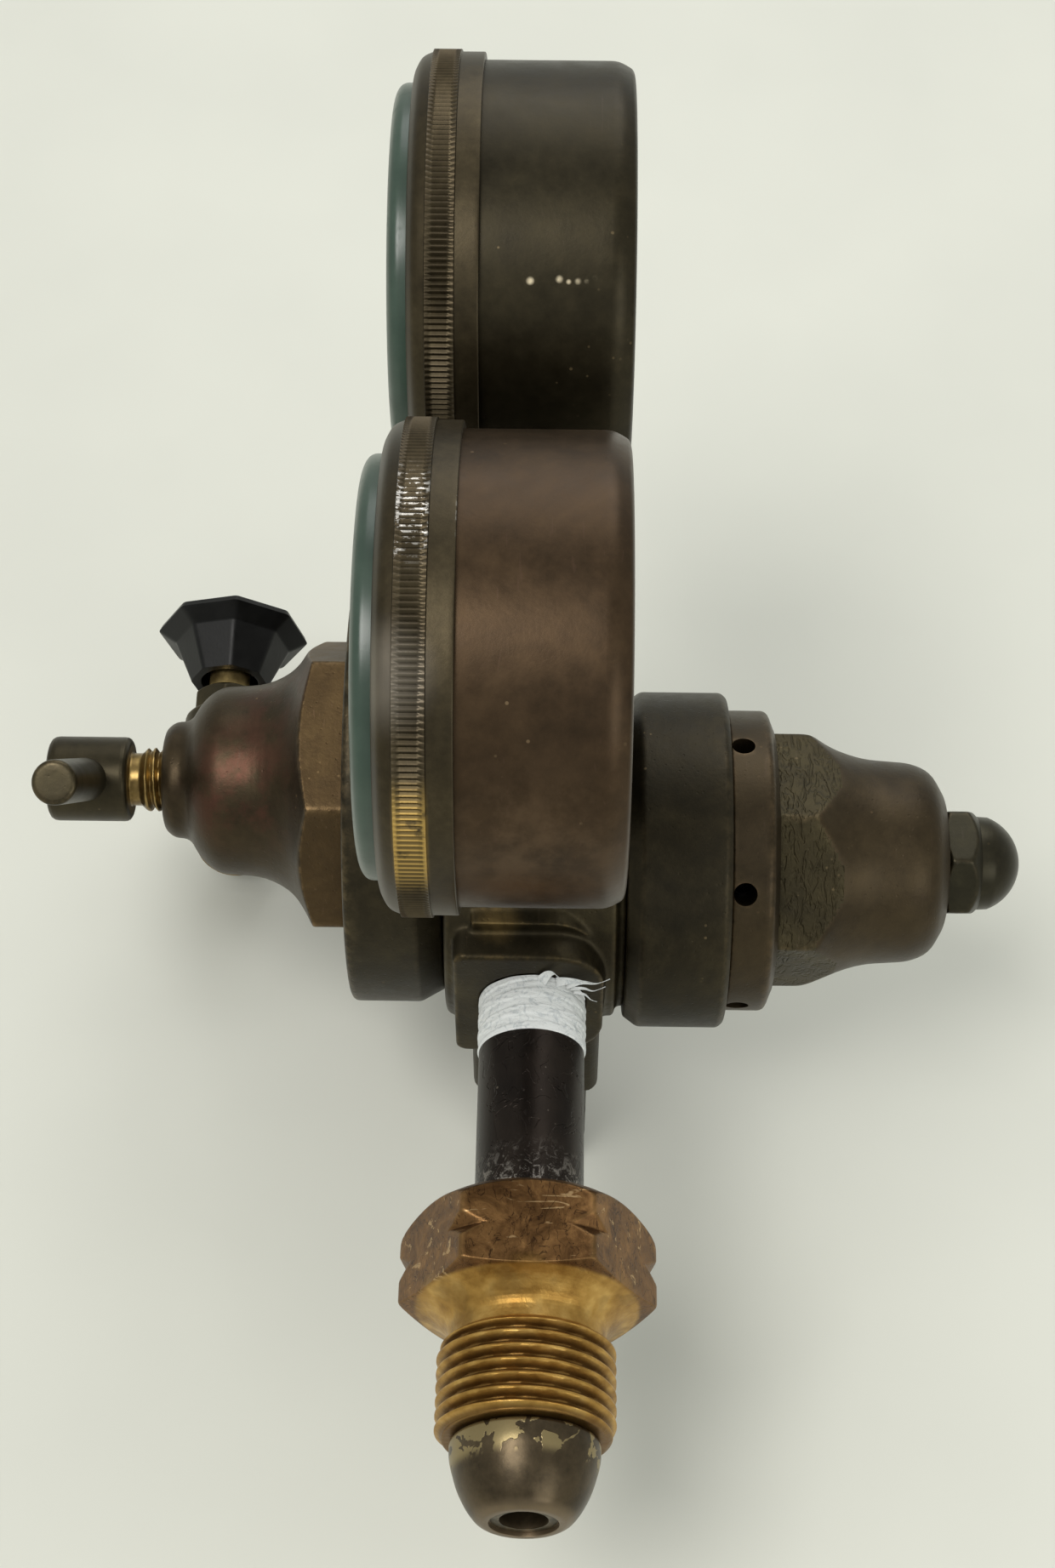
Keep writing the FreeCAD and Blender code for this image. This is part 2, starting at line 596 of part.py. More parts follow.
def tail_point():
    angle = math.radians(SECTOR_TAIL_DEG)
    return SECTOR_TAIL * math.cos(angle), SECTOR_PIVOT_Z + SECTOR_TAIL * math.sin(angle)


def gear_blank(teeth, first, last, thickness, start):
    """Straight-flanked teeth first..last of a wheel, down to its hub, about local Z."""
    pitch_r = teeth * GEAR_MODULE / 2
    root, tip = pitch_r - 1.2 * GEAR_MODULE, pitch_r + 0.75 * GEAR_MODULE
    step = 2 * math.pi / teeth
    points = []
    for index in range(first, last + 1):
        for radius, offset in ((root, -0.26), (tip, -0.10), (tip, 0.10), (root, 0.26)):
            angle = (index + offset) * step
            points.append(vec(radius * math.cos(angle), radius * math.sin(angle), start))
    if last - first + 1 < teeth:
        points.append(vec(0, 0, start))
    points.append(points[0])
    return Part.Face(Part.makePolygon(points)).extrude(vec(0, 0, thickness))


def around_socket(shape):
    """Carry a shape made about local Z to the socket's own line."""
    shape.translate(vec(0, SOCKET_Y, 0))
    return shape


def make_case():
    outer = turned([(-CASE_BACK, CASE_R - 2.3), (-CASE_BACK + 2.3, CASE_R, -CASE_BACK + 0.67, CASE_R - 0.67),
                    (-CASE_RIM, CASE_R)])
    inner = rod(CASE_R - 1.0, -CASE_BACK + 1.2, 20.0)
    neck = around_socket(block(-SHANK_HALF, -SHANK_HALF, -30.0, SHANK_HALF, SHANK_HALF, -20.0))
    return placed(outer.cut(inner), TO_DIAL).cut(neck)


def make_bezel():
    skin = turned([(7.9, 27.7), (10.8, 27.7), (10.8, GAUGE_R), (14.3, GAUGE_R), (14.3, 27.6),
                   (16.6, 25.2, 15.9, 26.9)])
    return placed(skin.cut([rod(CASE_R, 0, 13.6), rod(24.0, 10.0, 20.0)]), TO_DIAL)


def make_lens():
    outer = turned([(12.0, CASE_R), (13.6, CASE_R), (13.6, 23.9), (18.0, 23.9),
                    (18.9, 22.6, 18.65, 23.5), (19.6, 6.0, 19.42, 13.5)])
    return placed(outer.cut(rod(22.0, 10.0, 16.8)), TO_DIAL)


def make_dial():
    return placed(tube(CASE_R - 1.0, 1.2, 8.6, 9.2), TO_DIAL)


def make_socket():
    """Square shank and threaded foot below the case, and the block that carries the works."""
    length = gauge_length()
    shank = block(-SHANK_HALF, -SHANK_HALF, -length + 8.0, SHANK_HALF, SHANK_HALF, -CASE_R + 1.0)
    rounding = Part.makeCylinder(9.3, length, vec(0, 0, -length))
    foot = Part.makeCylinder(6.5, 10.0, vec(0, 0, -length + SOCKET_START))
    shape = around_socket(shank.common(rounding).fuse(foot))
    shape = shape.fuse(block(-5.0, -2.0, -CASE_R + 1.0, 5.0, 5.0, WORKS_BLOCK_TOP))
    bore = Part.makeCylinder(1.5, length - 20.0, vec(0, SOCKET_Y, -length))
    return shape.cut(bore)


def make_bourdon_tube():
    """Flattened C tube from the socket block clockwise to its tip, with the tip's link pin."""
    section = Part.Face(Part.makePolygon([vec(TUBE_MEAN_R - 1.3, -3.0, 0), vec(TUBE_MEAN_R + 1.3, -3.0, 0),
                                          vec(TUBE_MEAN_R + 1.3, 4.0, 0), vec(TUBE_MEAN_R - 1.3, 4.0, 0),
                                          vec(TUBE_MEAN_R - 1.3, -3.0, 0)]))
    start_deg, end_deg = -107.0, -385.0
    section.rotate(vec(0, 0, 0), vec(0, 1, 0), -start_deg)
    c_tube = section.revolve(vec(0, 0, 0), vec(0, 1, 0), start_deg - end_deg)
    tab = Part.makeCylinder(1.3, 0.8, vec(TIP_X, -2.6, TIP_Z), vec(0, 1, 0))
    bridge = block(TIP_X, -2.6, TIP_Z - 1.0, TIP_X + 2.6, -1.8, TIP_Z + 1.0)
    pin = Part.makeCylinder(0.5, 1.4, vec(TIP_X, -3.9, TIP_Z), vec(0, 1, 0))
    return c_tube.fuse([tab, bridge, pin])


def make_movement_frame():
    front = block(-6.5, -7.2, -15.6, 6.5, -6.4, 4.0)
    back = block(-6.5, -1.6, WORKS_BLOCK_TOP, 6.5, -0.8, 4.0)
    posts = [Part.makeCylinder(0.9, 4.8, vec(x, -6.4, 2.6), vec(0, 1, 0)) for x in (-5.2, 5.2)]
    foot = block(-4.0, -6.4, -17.6, 4.0, -2.0, WORKS_BLOCK_TOP)
    shape = front.fuse([back, foot] + posts)
    holes = [Part.makeCylinder(0.5 + SCREW_FIT, 12, vec(0, -9, z), vec(0, 1, 0)) for z in (0, SECTOR_PIVOT_Z)]
    return shape.cut(holes)


def make_sector_gear():
    """Toothed quadrant; at zero pressure its left-hand end meshes with the pinion."""
    teeth = PINION_TEETH * GAUGE_GEAR_RATIO
    blank = gear_blank(teeth, 7, 19, 0.8, 4.2)
    hub = rod(1.6, 4.0, 5.2)
    arbor = rod(0.5, 0.9, 7.1)
    tail_deg = math.radians(SECTOR_TAIL_DEG)
    tail_x, tail_y = SECTOR_TAIL * math.cos(tail_deg), SECTOR_TAIL * math.sin(tail_deg)
    arm = block(0, -0.8, 4.2, SECTOR_TAIL, 0.8, 5.0)
    arm.rotate(vec(0, 0, 0), vec(0, 0, 1), SECTOR_TAIL_DEG)
    eye = Part.makeCylinder(1.1, 0.8, vec(tail_x, tail_y, 4.2))
    pin = Part.makeCylinder(0.5, 1.4, vec(tail_x, tail_y, 2.8))
    shape = placed(blank.fuse([hub, arbor, arm, eye, pin]), TO_DIAL)
    shape.translate(vec(0, 0, SECTOR_PIVOT_Z))
    return shape


def make_link():
    tail_x, tail_z = tail_point()
    start, end = vec(tail_x, -3.7, tail_z), vec(TIP_X, -3.7, TIP_Z)
    eyes = [Part.makeCylinder(1.2, 0.6, point, vec(0, 1, 0)) for point in (start, end)]
    bar = block(0, -0.3, -0.6, start.distanceToPoint(end), 0.3, 0.6)
    bar.rotate(vec(0, 0, 0), vec(0, 1, 0), -math.degrees(math.atan2(TIP_Z - tail_z, TIP_X - tail_x)))
    bar.translate(start + vec(0, 0.3, 0))
    shape = eyes[0].fuse([eyes[1], bar])
    return shape.cut([Part.makeCylinder(0.5 + SCREW_FIT, 3, start - vec(0, 1, 0), vec(0, 1, 0)),
                      Part.makeCylinder(0.5 + GAP, 3, end - vec(0, 1, 0), vec(0, 1, 0))])


def make_pinion_arbor():
    wheel = gear_blank(PINION_TEETH, 0, PINION_TEETH - 1, 1.2, 4.0)
    wheel.rotate(vec(0, 0, 0), vec(0, 0, 1), -90 + 180 / PINION_TEETH)
    return placed(wheel.fuse(rod(0.5, 0.9, 11.6)), TO_DIAL)


ZERO_DEG = 225.0             # dial angle of the pointer at zero


def make_pointer():
    angle = math.radians(ZERO_DEG)
    side = vec(-math.sin(angle), math.cos(angle), 0)
    along = vec(math.cos(angle), math.sin(angle), 0)
    base = vec(0, 0, 10.5)
    corners = [base - along * 8 + side * 1.1, base - along * 8 - side * 1.1,
               base + along * 19.5 - side * 0.25, base + along * 19.5 + side * 0.25]
    blade = Part.Face(Part.makePolygon(corners + corners[:1])).extrude(vec(0, 0, 0.5))
    shape = blade.fuse(rod(1.9, 10.1, 11.6))
    return placed(shape.cut(rod(0.5, 5.0, 11.6)), TO_DIAL)


def gauge_place(side):
    """Turn the gauge so that its socket points down its port, and carry it to its centre."""
    centre, tilt = gauge_centre(side)
    return FreeCAD.Placement(vec(*centre), FreeCAD.Rotation(vec(0, 1, 0), math.degrees(tilt)))


GAUGE_PARTS = {
    "case": make_case, "bezel": make_bezel, "lens": make_lens, "dial": make_dial, "socket": make_socket,
    "bourdon_tube": make_bourdon_tube, "sector_gear": make_sector_gear, "link": make_link,
    "pinion_arbor": make_pinion_arbor, "pointer": make_pointer,
}


# ---------------------------------------------------------------- whole regulator
def make_parts():
    parts = {
        "body": make_body(),
        "front_ring": make_front_ring(),
        "front_bonnet": make_front_bonnet(),
        "front_diaphragm": make_diaphragm(FRONT_SEAT_Y, FRONT_FLANGE_R, 3.0 + GAP, FRONT),
        "front_diaphragm_plate": make_diaphragm_plate(FRONT_SEAT_Y, 14.0, 5.6, FRONT),
        "front_seat": make_seat(SEAT_BOTTOM, CHAMBER_FLOOR, FRONT),
        "front_poppet": make_poppet(SEAT_BOTTOM, FRONT_SEAT_Y - 1.6, FRONT),
        "front_poppet_spring": placed(coil(3.0, 0.4, POCKET_FLOOR + 0.45, 0.2, 4), FRONT),
        "front_spring": placed(coil(8.1, 1.1, 22.8, 37.4, 4), FRONT),
        "front_spring_button": make_spring_button(BUTTON_START, BUTTON_END, FRONT),
        "adjusting_screw": make_adjusting_screw(),
        "handle_bar": make_handle_bar(),
        "rear_ring": make_rear_ring(),
        "rear_bonnet": make_rear_bonnet(),
        "rear_diaphragm": make_diaphragm(REAR_SEAT_Y, REAR_THREAD_R, 3.0 + GAP, REAR),
        "rear_diaphragm_plate": make_diaphragm_plate(REAR_SEAT_Y, 11.5, 5.6, REAR),
        "rear_seat": make_seat(SEAT_BOTTOM, CHAMBER_FLOOR, REAR),
        "rear_poppet": make_poppet(SEAT_BOTTOM, REAR_SEAT_Y - 1.6, REAR),
        "rear_poppet_spring": placed(coil(3.0, 0.4, POCKET_FLOOR + 0.45, 0.2, 4), REAR),
        "rear_spring": placed(coil(8.1, 1.2, 22.6, 39.2, 5), REAR),
        "rear_spring_button": make_spring_button(40.5, 43.5, REAR),
        "rear_adjusting_screw": make_rear_adjusting_screw(),
        "acorn_cap": make_acorn_cap(),
        "inlet_nipple": make_inlet_nipple(),
        "nose_insert": make_nose_insert(),
        "thread_tape": make_thread_tape(),
        "inlet_nut": make_inlet_nut(),
        "relief_body": make_relief_body(),
        "relief_cap": make_relief_cap(),
        "relief_disc": make_relief_disc(),
        "relief_spring": make_relief_spring(),
        "outlet_elbow": make_outlet_elbow(),
        "valve_body": make_valve_body(),
        "valve_gland": make_valve_gland(),
        "outlet_nipple": make_outlet_nipple(),
        "valve_needle": make_valve_needle(),
        "valve_stem": make_valve_stem(),
        "valve_knob": make_valve_knob(),
        "knob_nut": make_knob_nut(),
    }
    for name, side in (("inlet_gauge", 1), ("delivery_gauge", -1)):
        for piece, maker in GAUGE_PARTS.items():
            parts[name + "_" + piece] = placed(maker(), gauge_place(side))
    frames = [placed(make_movement_frame(), gauge_place(side)) for side in (1, -1)]
    parts["gauge_movement_frames"] = Part.makeCompound(frames)
    return parts


os.makedirs("parts", exist_ok=True)
for node, shape in make_parts().items():
    shape.exportStep("parts/" + node + ".step")
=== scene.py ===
import json
import math

import bpy
import numpy as np
from mathutils import Matrix, Vector


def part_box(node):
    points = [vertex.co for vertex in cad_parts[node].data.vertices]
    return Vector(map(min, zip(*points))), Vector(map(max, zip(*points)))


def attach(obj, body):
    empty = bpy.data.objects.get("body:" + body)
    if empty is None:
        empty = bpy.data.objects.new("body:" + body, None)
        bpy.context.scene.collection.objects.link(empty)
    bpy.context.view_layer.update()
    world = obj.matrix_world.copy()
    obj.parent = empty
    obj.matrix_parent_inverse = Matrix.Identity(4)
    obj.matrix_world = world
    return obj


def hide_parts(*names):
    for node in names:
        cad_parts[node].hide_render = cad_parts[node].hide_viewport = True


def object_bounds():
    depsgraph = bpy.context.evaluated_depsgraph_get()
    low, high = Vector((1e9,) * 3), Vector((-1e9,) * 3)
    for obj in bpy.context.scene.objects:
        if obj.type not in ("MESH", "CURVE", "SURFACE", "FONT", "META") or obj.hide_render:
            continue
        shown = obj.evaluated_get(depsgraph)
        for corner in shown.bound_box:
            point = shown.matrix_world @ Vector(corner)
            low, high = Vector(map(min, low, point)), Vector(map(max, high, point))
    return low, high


# A two-stage fuel-gas cylinder regulator. Visible parts are rebuilt as fine meshes around the CAD
# frame, with real threads, knurls and rounded edges. Lengths are in millimetres unless noted, and a
# turned piece's outline gives its distance along its own axis, its radius and an optional fillet.

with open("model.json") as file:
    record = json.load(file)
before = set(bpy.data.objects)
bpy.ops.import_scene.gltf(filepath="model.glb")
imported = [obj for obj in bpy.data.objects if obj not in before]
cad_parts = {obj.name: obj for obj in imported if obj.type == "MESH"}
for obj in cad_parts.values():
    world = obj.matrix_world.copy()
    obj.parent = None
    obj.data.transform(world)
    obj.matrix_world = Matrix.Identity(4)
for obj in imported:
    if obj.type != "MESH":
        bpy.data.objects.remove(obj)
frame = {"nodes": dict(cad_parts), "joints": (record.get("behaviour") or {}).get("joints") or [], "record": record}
cad_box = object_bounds()
MM = 0.001
INCH = 25.4

NODES = frame["nodes"]
JOINTS = {joint["name"]: joint for joint in frame["joints"]}


# ---------------------------------------------------------------- places
def node_centre(name):
    low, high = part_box(name)
    return (low + high) / 2


def joint_point(name):
    return Vector(JOINTS[name]["pos_m"]) / MM


def axis_frame(origin, axis, right):
    """Matrix from a turned part's own millimetres (local Z along axis) to the row frame in metres."""
    z_dir = Vector(axis).normalized()
    x_dir = Vector(right)
    x_dir = (x_dir - z_dir * x_dir.dot(z_dir)).normalized()
    y_dir = z_dir.cross(x_dir)
    place = Matrix((x_dir, y_dir, z_dir)).transposed().to_4x4()
    place.translation = Vector(origin)
    return Matrix.Scale(MM, 4) @ place


front_x = joint_point("adjust_turn").x
rear_x = node_centre("rear_ring").x / MM
body_x = (front_x + rear_x) / 2
relief_centre = node_centre("relief_cap") / MM
valve_centre = joint_point("knob_turn")
knob_axis = Vector(JOINTS["knob_turn"]["axis"])

FRONT = axis_frame((front_x, 0, 0), (0, -1, 0), (1, 0, 0))
REAR = axis_frame((rear_x, 0, 0), (0, 1, 0), (1, 0, 0))
INLET = axis_frame((body_x, 0, 0), (1, 0, 0), (0, 1, 0))
RELIEF = axis_frame((relief_centre.x, relief_centre.y, 0), (0, 0, -1), (1, 0, 0))
VALVE = axis_frame(valve_centre, knob_axis, (0, 0, 1))
hose_axis = next(mount["axis"] for mount in frame["record"]["mounts"] if mount["name"] == "outlet_thread")
HOSE = axis_frame(valve_centre, hose_axis, (1, 0, 0))


# ---------------------------------------------------------------- mesh building
def soft_min(a, b, blend):
    """Smaller of two radii, with the crease between them rounded over the blend width."""
    share = np.clip(0.5 + 0.5 * (b - a) / blend, 0, 1)
    return b + (a - b) * share - blend * share * (1 - share)


def polygon_radius(theta, across_flats, corner_deg, sides=6, blend=0.25):
    """Radius of a regular prism in direction theta, with slightly rounded corners."""
    half = math.pi / sides
    turned_angle = np.mod(theta - math.radians(corner_deg), 2 * half) - half
    near = across_flats / 2 / np.cos(turned_angle)
    other = across_flats / 2 / np.cos(2 * half - np.abs(turned_angle))
    return soft_min(near, other, blend)


def rounded(*corners, step=1.5, arc_points=5):
    """Outline through (along, radius[, fillet]) corners: fillets become arcs, long runs are divided."""
    points = []
    count = len(corners)
    for index, corner in enumerate(corners):
        here = np.array(corner[:2], float)
        fillet = corner[2] if len(corner) > 2 and 0 < index < count - 1 else 0
        if fillet:
            to_last = np.array(corners[index - 1][:2], float) - here
            to_next = np.array(corners[index + 1][:2], float) - here
            reach_last, reach_next = np.linalg.norm(to_last), np.linalg.norm(to_next)
            cut = min(fillet, 0.49 * reach_last, 0.49 * reach_next)
            start, end = here + to_last / reach_last * cut, here + to_next / reach_next * cut
            for t in np.linspace(0, 1, arc_points):
                points.append((1 - t) ** 2 * start + 2 * t * (1 - t) * here + t ** 2 * end)
        else:
            points.append(here)
    fine = [points[0]]
    for point in points[1:]:
        run = np.linalg.norm(point - fine[-1])
        if run < 1e-4:
            continue
        parts = max(1, math.ceil(run / step))
        start = fine[-1]
        for part in range(1, parts + 1):
            fine.append(start + (point - start) * part / parts)
    return np.array(fine)


def finish_mesh(name, points, faces, sharp_deg=40):
    mesh = bpy.data.meshes.new(name)
    mesh.from_pydata(points, [], faces)
    mesh.validate()
    mesh.shade_smooth()
    mesh.set_sharp_from_angle(angle=math.radians(sharp_deg))
    piece = bpy.data.objects.new(name, mesh)
    bpy.context.scene.collection.objects.link(piece)
    return piece


def spun(name, place, outline, shape=None, segments=180, closed=False, sharp_deg=40):
    """Turned piece about local Z. The outline runs along, radius; shape may change the radius by angle.

    The outline goes round clockwise (outside out), closed on itself or ending on the axis.
    """
    along = outline[:, 0][:, None]
    radius = outline[:, 1][:, None]
    theta = np.linspace(0, 2 * math.pi, segments, endpoint=False)[None, :]
    reach = radius + 0 * theta
    if shape:
        reach = np.where(reach > 1e-6, shape(along + 0 * theta, reach, theta + 0 * along), reach)
    rows = []
    points = []
    for index in range(len(outline)):
        if outline[index, 1] < 1e-6:
            rows.append([len(points)] * segments)
            points.append((0, 0, outline[index, 0]))
        else:
            rows.append(list(range(len(points), len(points) + segments)))
            ring = np.stack([reach[index] * np.cos(theta[0]), reach[index] * np.sin(theta[0]),
                             np.full(segments, outline[index, 0])], -1)
            points.extend(map(tuple, ring))
    faces = []
    pairs = list(zip(rows, rows[1:])) + ([(rows[-1], rows[0])] if closed else [])
    for lower, upper in pairs:
        for k in range(segments):
            m = (k + 1) % segments
            corners = [lower[k], lower[m], upper[m], upper[k]]
            corners = [c for i, c in enumerate(corners) if c != corners[i - 1]]
            if len(corners) > 2:
                faces.append(corners)
    matrix = np.array(place)
    points = np.array(points) @ matrix[:3, :3].T + matrix[:3, 3]
    return finish_mesh(name, points.tolist(), faces, sharp_deg)


def copy_node(name, *nodes):
    """One new mesh object holding copies of the CAD nodes' meshes."""
    points, faces = [], []
    for node in nodes:
        mesh = NODES[node].data
        base = len(points)
        points += [tuple(v.co) for v in mesh.vertices]
        faces += [[base + i for i in polygon.vertices] for polygon in mesh.polygons]
    return finish_mesh(name, points, faces)


def apply_modifiers(piece):
    depsgraph = bpy.context.evaluated_depsgraph_get()
    mesh = bpy.data.meshes.new_from_object(piece.evaluated_get(depsgraph))
    piece.modifiers.clear()
    piece.data = mesh
    return piece


def softened(name, voxel, passes, *nodes):
    """Cast piece: a fine remesh of the CAD solids, relaxed so that edges and joins are rounded."""
    piece = copy_node(name, *nodes)
    weld = piece.modifiers.new("weld", "WELD")
    weld.merge_threshold = 1e-6
    remesh = piece.modifiers.new("remesh", "REMESH")
    remesh.mode, remesh.voxel_size, remesh.adaptivity = "VOXEL", voxel * MM, 0.0
    relax = piece.modifiers.new("relax", "SMOOTH")
    relax.factor, relax.iterations = 0.5, passes
    apply_modifiers(piece)
    piece.data.shade_smooth()
    return piece


def join_meshes(name, first, second):
    """Welds two open shells along their common rims into one closed mesh."""
    points, faces = [], []
    for piece, flip in ((first, False), (second, True)):
        base = len(points)
        points += [tuple(v.co) for v in piece.data.vertices]
        for polygon in piece.data.polygons:
            corners = [base + i for i in polygon.vertices]
            faces.append(corners[::-1] if flip else corners)
        bpy.data.objects.remove(piece)
    joined = finish_mesh(name, points, faces)
    weld = joined.modifiers.new("weld", "WELD")
    weld.merge_threshold = 1e-6
    apply_modifiers(joined)
    joined.data.shade_smooth()
    joined.data.set_sharp_from_angle(angle=math.radians(40))
    return joined


def mark_wear(piece, width=1.0, gain=1.0):
    """Stores how exposed each point is (convex edges and ridges) in the point attribute wear."""
    mesh = piece.data
    count = len(mesh.vertices)
    co = np.empty(count * 3)
    normal = np.empty(count * 3)
    mesh.vertices.foreach_get("co", co)
    mesh.vertices.foreach_get("normal", normal)
    co, normal = co.reshape(-1, 3), normal.reshape(-1, 3)
    ends = np.empty(len(mesh.edges) * 2, int)
    mesh.edges.foreach_get("vertices", ends)
    a, b = ends[::2], ends[1::2]
    run = co[a] - co[b]
    length = np.linalg.norm(run, axis=1) + 1e-9
    bend = np.zeros(count)
    seen = np.zeros(count)
    np.add.at(bend, a, (run * normal[a]).sum(1) / length)
    np.add.at(bend, b, -(run * normal[b]).sum(1) / length)
    np.add.at(seen, a, 1)
    np.add.at(seen, b, 1)
    bend /= np.maximum(seen, 1)
    for _ in range(int(2 * width)):
        spread = np.zeros(count)
        np.add.at(spread, a, bend[b])
        np.add.at(spread, b, bend[a])
        bend = 0.4 * bend + 0.6 * spread / np.maximum(seen, 1)
    worn = np.clip((bend * gain - 0.03) / 0.16, 0, 1)
    attribute = mesh.attributes.get("wear") or mesh.attributes.new("wear", "FLOAT", "POINT")
    attribute.data.foreach_set("value", worn.astype(np.float32))
    return piece


# ---------------------------------------------------------------- material building
class Surface:
    """A material under construction, with short calls for the nodes used here."""

    def __init__(self, name):
        self.material = bpy.data.materials.new(name)
        self.material.use_nodes = True
        self.tree = self.material.node_tree
        self.tree.nodes.clear()
        output = self.tree.nodes.new("ShaderNodeOutputMaterial")
        self.shader = self.tree.nodes.new("ShaderNodeBsdfPrincipled")
        self.tree.links.new(self.shader.outputs[0], output.inputs[0])
        self.coords = self.tree.nodes.new("ShaderNodeTexCoord").outputs["Object"]
        self.normal = None

    def put(self, socket, value):
        if isinstance(value, bpy.types.NodeSocket):
            self.tree.links.new(value, socket)
        else:
            socket.default_value = value

    def set(self, **values):
        for name, value in values.items():
            self.put(self.shader.inputs[name.replace("_", " ")], value)
        return self

    def noise(self, size, detail=4.0, rough=0.6, stretch=(1, 1, 1), distortion=0.0):
        """Noise whose features are about size millimetres across."""
        mapping = self.tree.nodes.new("ShaderNodeMapping")
        self.put(mapping.inputs["Vector"], self.coords)
        mapping.inputs["Scale"].default_value = stretch
        node = self.tree.nodes.new("ShaderNodeTexNoise")
        self.put(node.inputs["Vector"], mapping.outputs[0])
        node.inputs["Scale"].default_value = 1 / (size * MM)
        node.inputs["Detail"].default_value = detail
        node.inputs["Roughness"].default_value = rough
        node.inputs["Distortion"].default_value = distortion
        return node.outputs["Fac"]

    def cells(self, size, feature="F1"):
        node = self.tree.nodes.new("ShaderNodeTexVoronoi")
        node.feature = feature
        self.put(node.inputs["Vector"], self.coords)
        node.inputs["Scale"].default_value = 1 / (size * MM)
        return node.outputs["Distance"]

    def ramp(self, value, *stops):
        node = self.tree.nodes.new("ShaderNodeValToRGB")
        self.put(node.inputs["Fac"], value)
        while len(node.color_ramp.elements) < len(stops):
            node.color_ramp.elements.new(0.5)
        for element, (position, colour) in zip(node.color_ramp.elements, stops):
            element.position = position
            element.color = (*colour, 1) if isinstance(colour, tuple) else (colour, colour, colour, 1)
        return node.outputs["Color"]

    def mix(self, share, a, b):
        node = self.tree.nodes.new("ShaderNodeMix")
        node.data_type = "RGBA"
        self.put(node.inputs["Factor"], share)
        for socket, value in ((node.inputs[6], a), (node.inputs[7], b)):
            self.put(socket, (*value, 1) if isinstance(value, tuple) and len(value) == 3 else value)
        return node.outputs[2]

    def math(self, operation, a, b=0.0, clamp=False):
        node = self.tree.nodes.new("ShaderNodeMath")
        node.operation = operation
        node.use_clamp = clamp
        self.put(node.inputs[0], a)
        self.put(node.inputs[1], b)
        return node.outputs[0]

    def times(self, a, b):
        return self.math("MULTIPLY", a, b)

    def plus(self, a, b):
        return self.math("ADD", a, b)

    def band(self, value, low, high):
        """0 below low, 1 above high, smooth between; low above high turns it round."""
        node = self.tree.nodes.new("ShaderNodeMapRange")
        node.interpolation_type = "SMOOTHSTEP"
        self.put(node.inputs["Value"], value)
        swap = low > high
        node.inputs["From Min"].default_value = high if swap else low
        node.inputs["From Max"].default_value = low if swap else high
        node.inputs["To Min"].default_value = 1.0 if swap else 0.0
        node.inputs["To Max"].default_value = 0.0 if swap else 1.0
        return node.outputs["Result"]

    def wear(self):
        node = self.tree.nodes.new("ShaderNodeAttribute")
        node.attribute_name = "wear"
        return node.outputs["Fac"]

    def near(self, centre, radius, softness=0.5):
        """1 at a place in the row frame (millimetres), fading to 0 at the radius."""
        node = self.tree.nodes.new("ShaderNodeVectorMath")
        node.operation = "DISTANCE"
        self.put(node.inputs[0], self.coords)
        node.inputs[1].default_value = Vector(centre) * MM
        return self.band(node.outputs["Value"], radius * MM, radius * MM * (1 - softness))

    def axis(self, index):
        node = self.tree.nodes.new("ShaderNodeSeparateXYZ")
        self.put(node.inputs[0], self.coords)
        return node.outputs[index]

    def off_line(self, first, second, centre=(0.0, 0.0)):
        """Distance (metres) from a line along the third axis through centre (millimetres)."""
        squares = [self.math("POWER", self.math("ABSOLUTE", self.math("SUBTRACT", self.axis(index),
            place * MM)), 2.0)
                   for index, place in zip((first, second), centre)]
        return self.math("SQRT", self.math("ADD", *squares))

    def bump(self, height, depth, strength=1.0):
        """Adds relief: height 0..1 over depth millimetres."""
        node = self.tree.nodes.new("ShaderNodeBump")
        node.inputs["Strength"].default_value = strength
        node.inputs["Distance"].default_value = depth * MM
        self.put(node.inputs["Height"], height)
        if self.normal:
            self.put(node.inputs["Normal"], self.normal)
        self.normal = node.outputs[0]
        self.put(self.shader.inputs["Normal"], self.normal)
        return self


OLIVE = (0.95, 1.0, 0.76)


def olive(colour):
    """Leans a brown towards the green-yellow cast of old bronze."""
    return tuple(channel * share for channel, share in zip(colour, OLIVE))


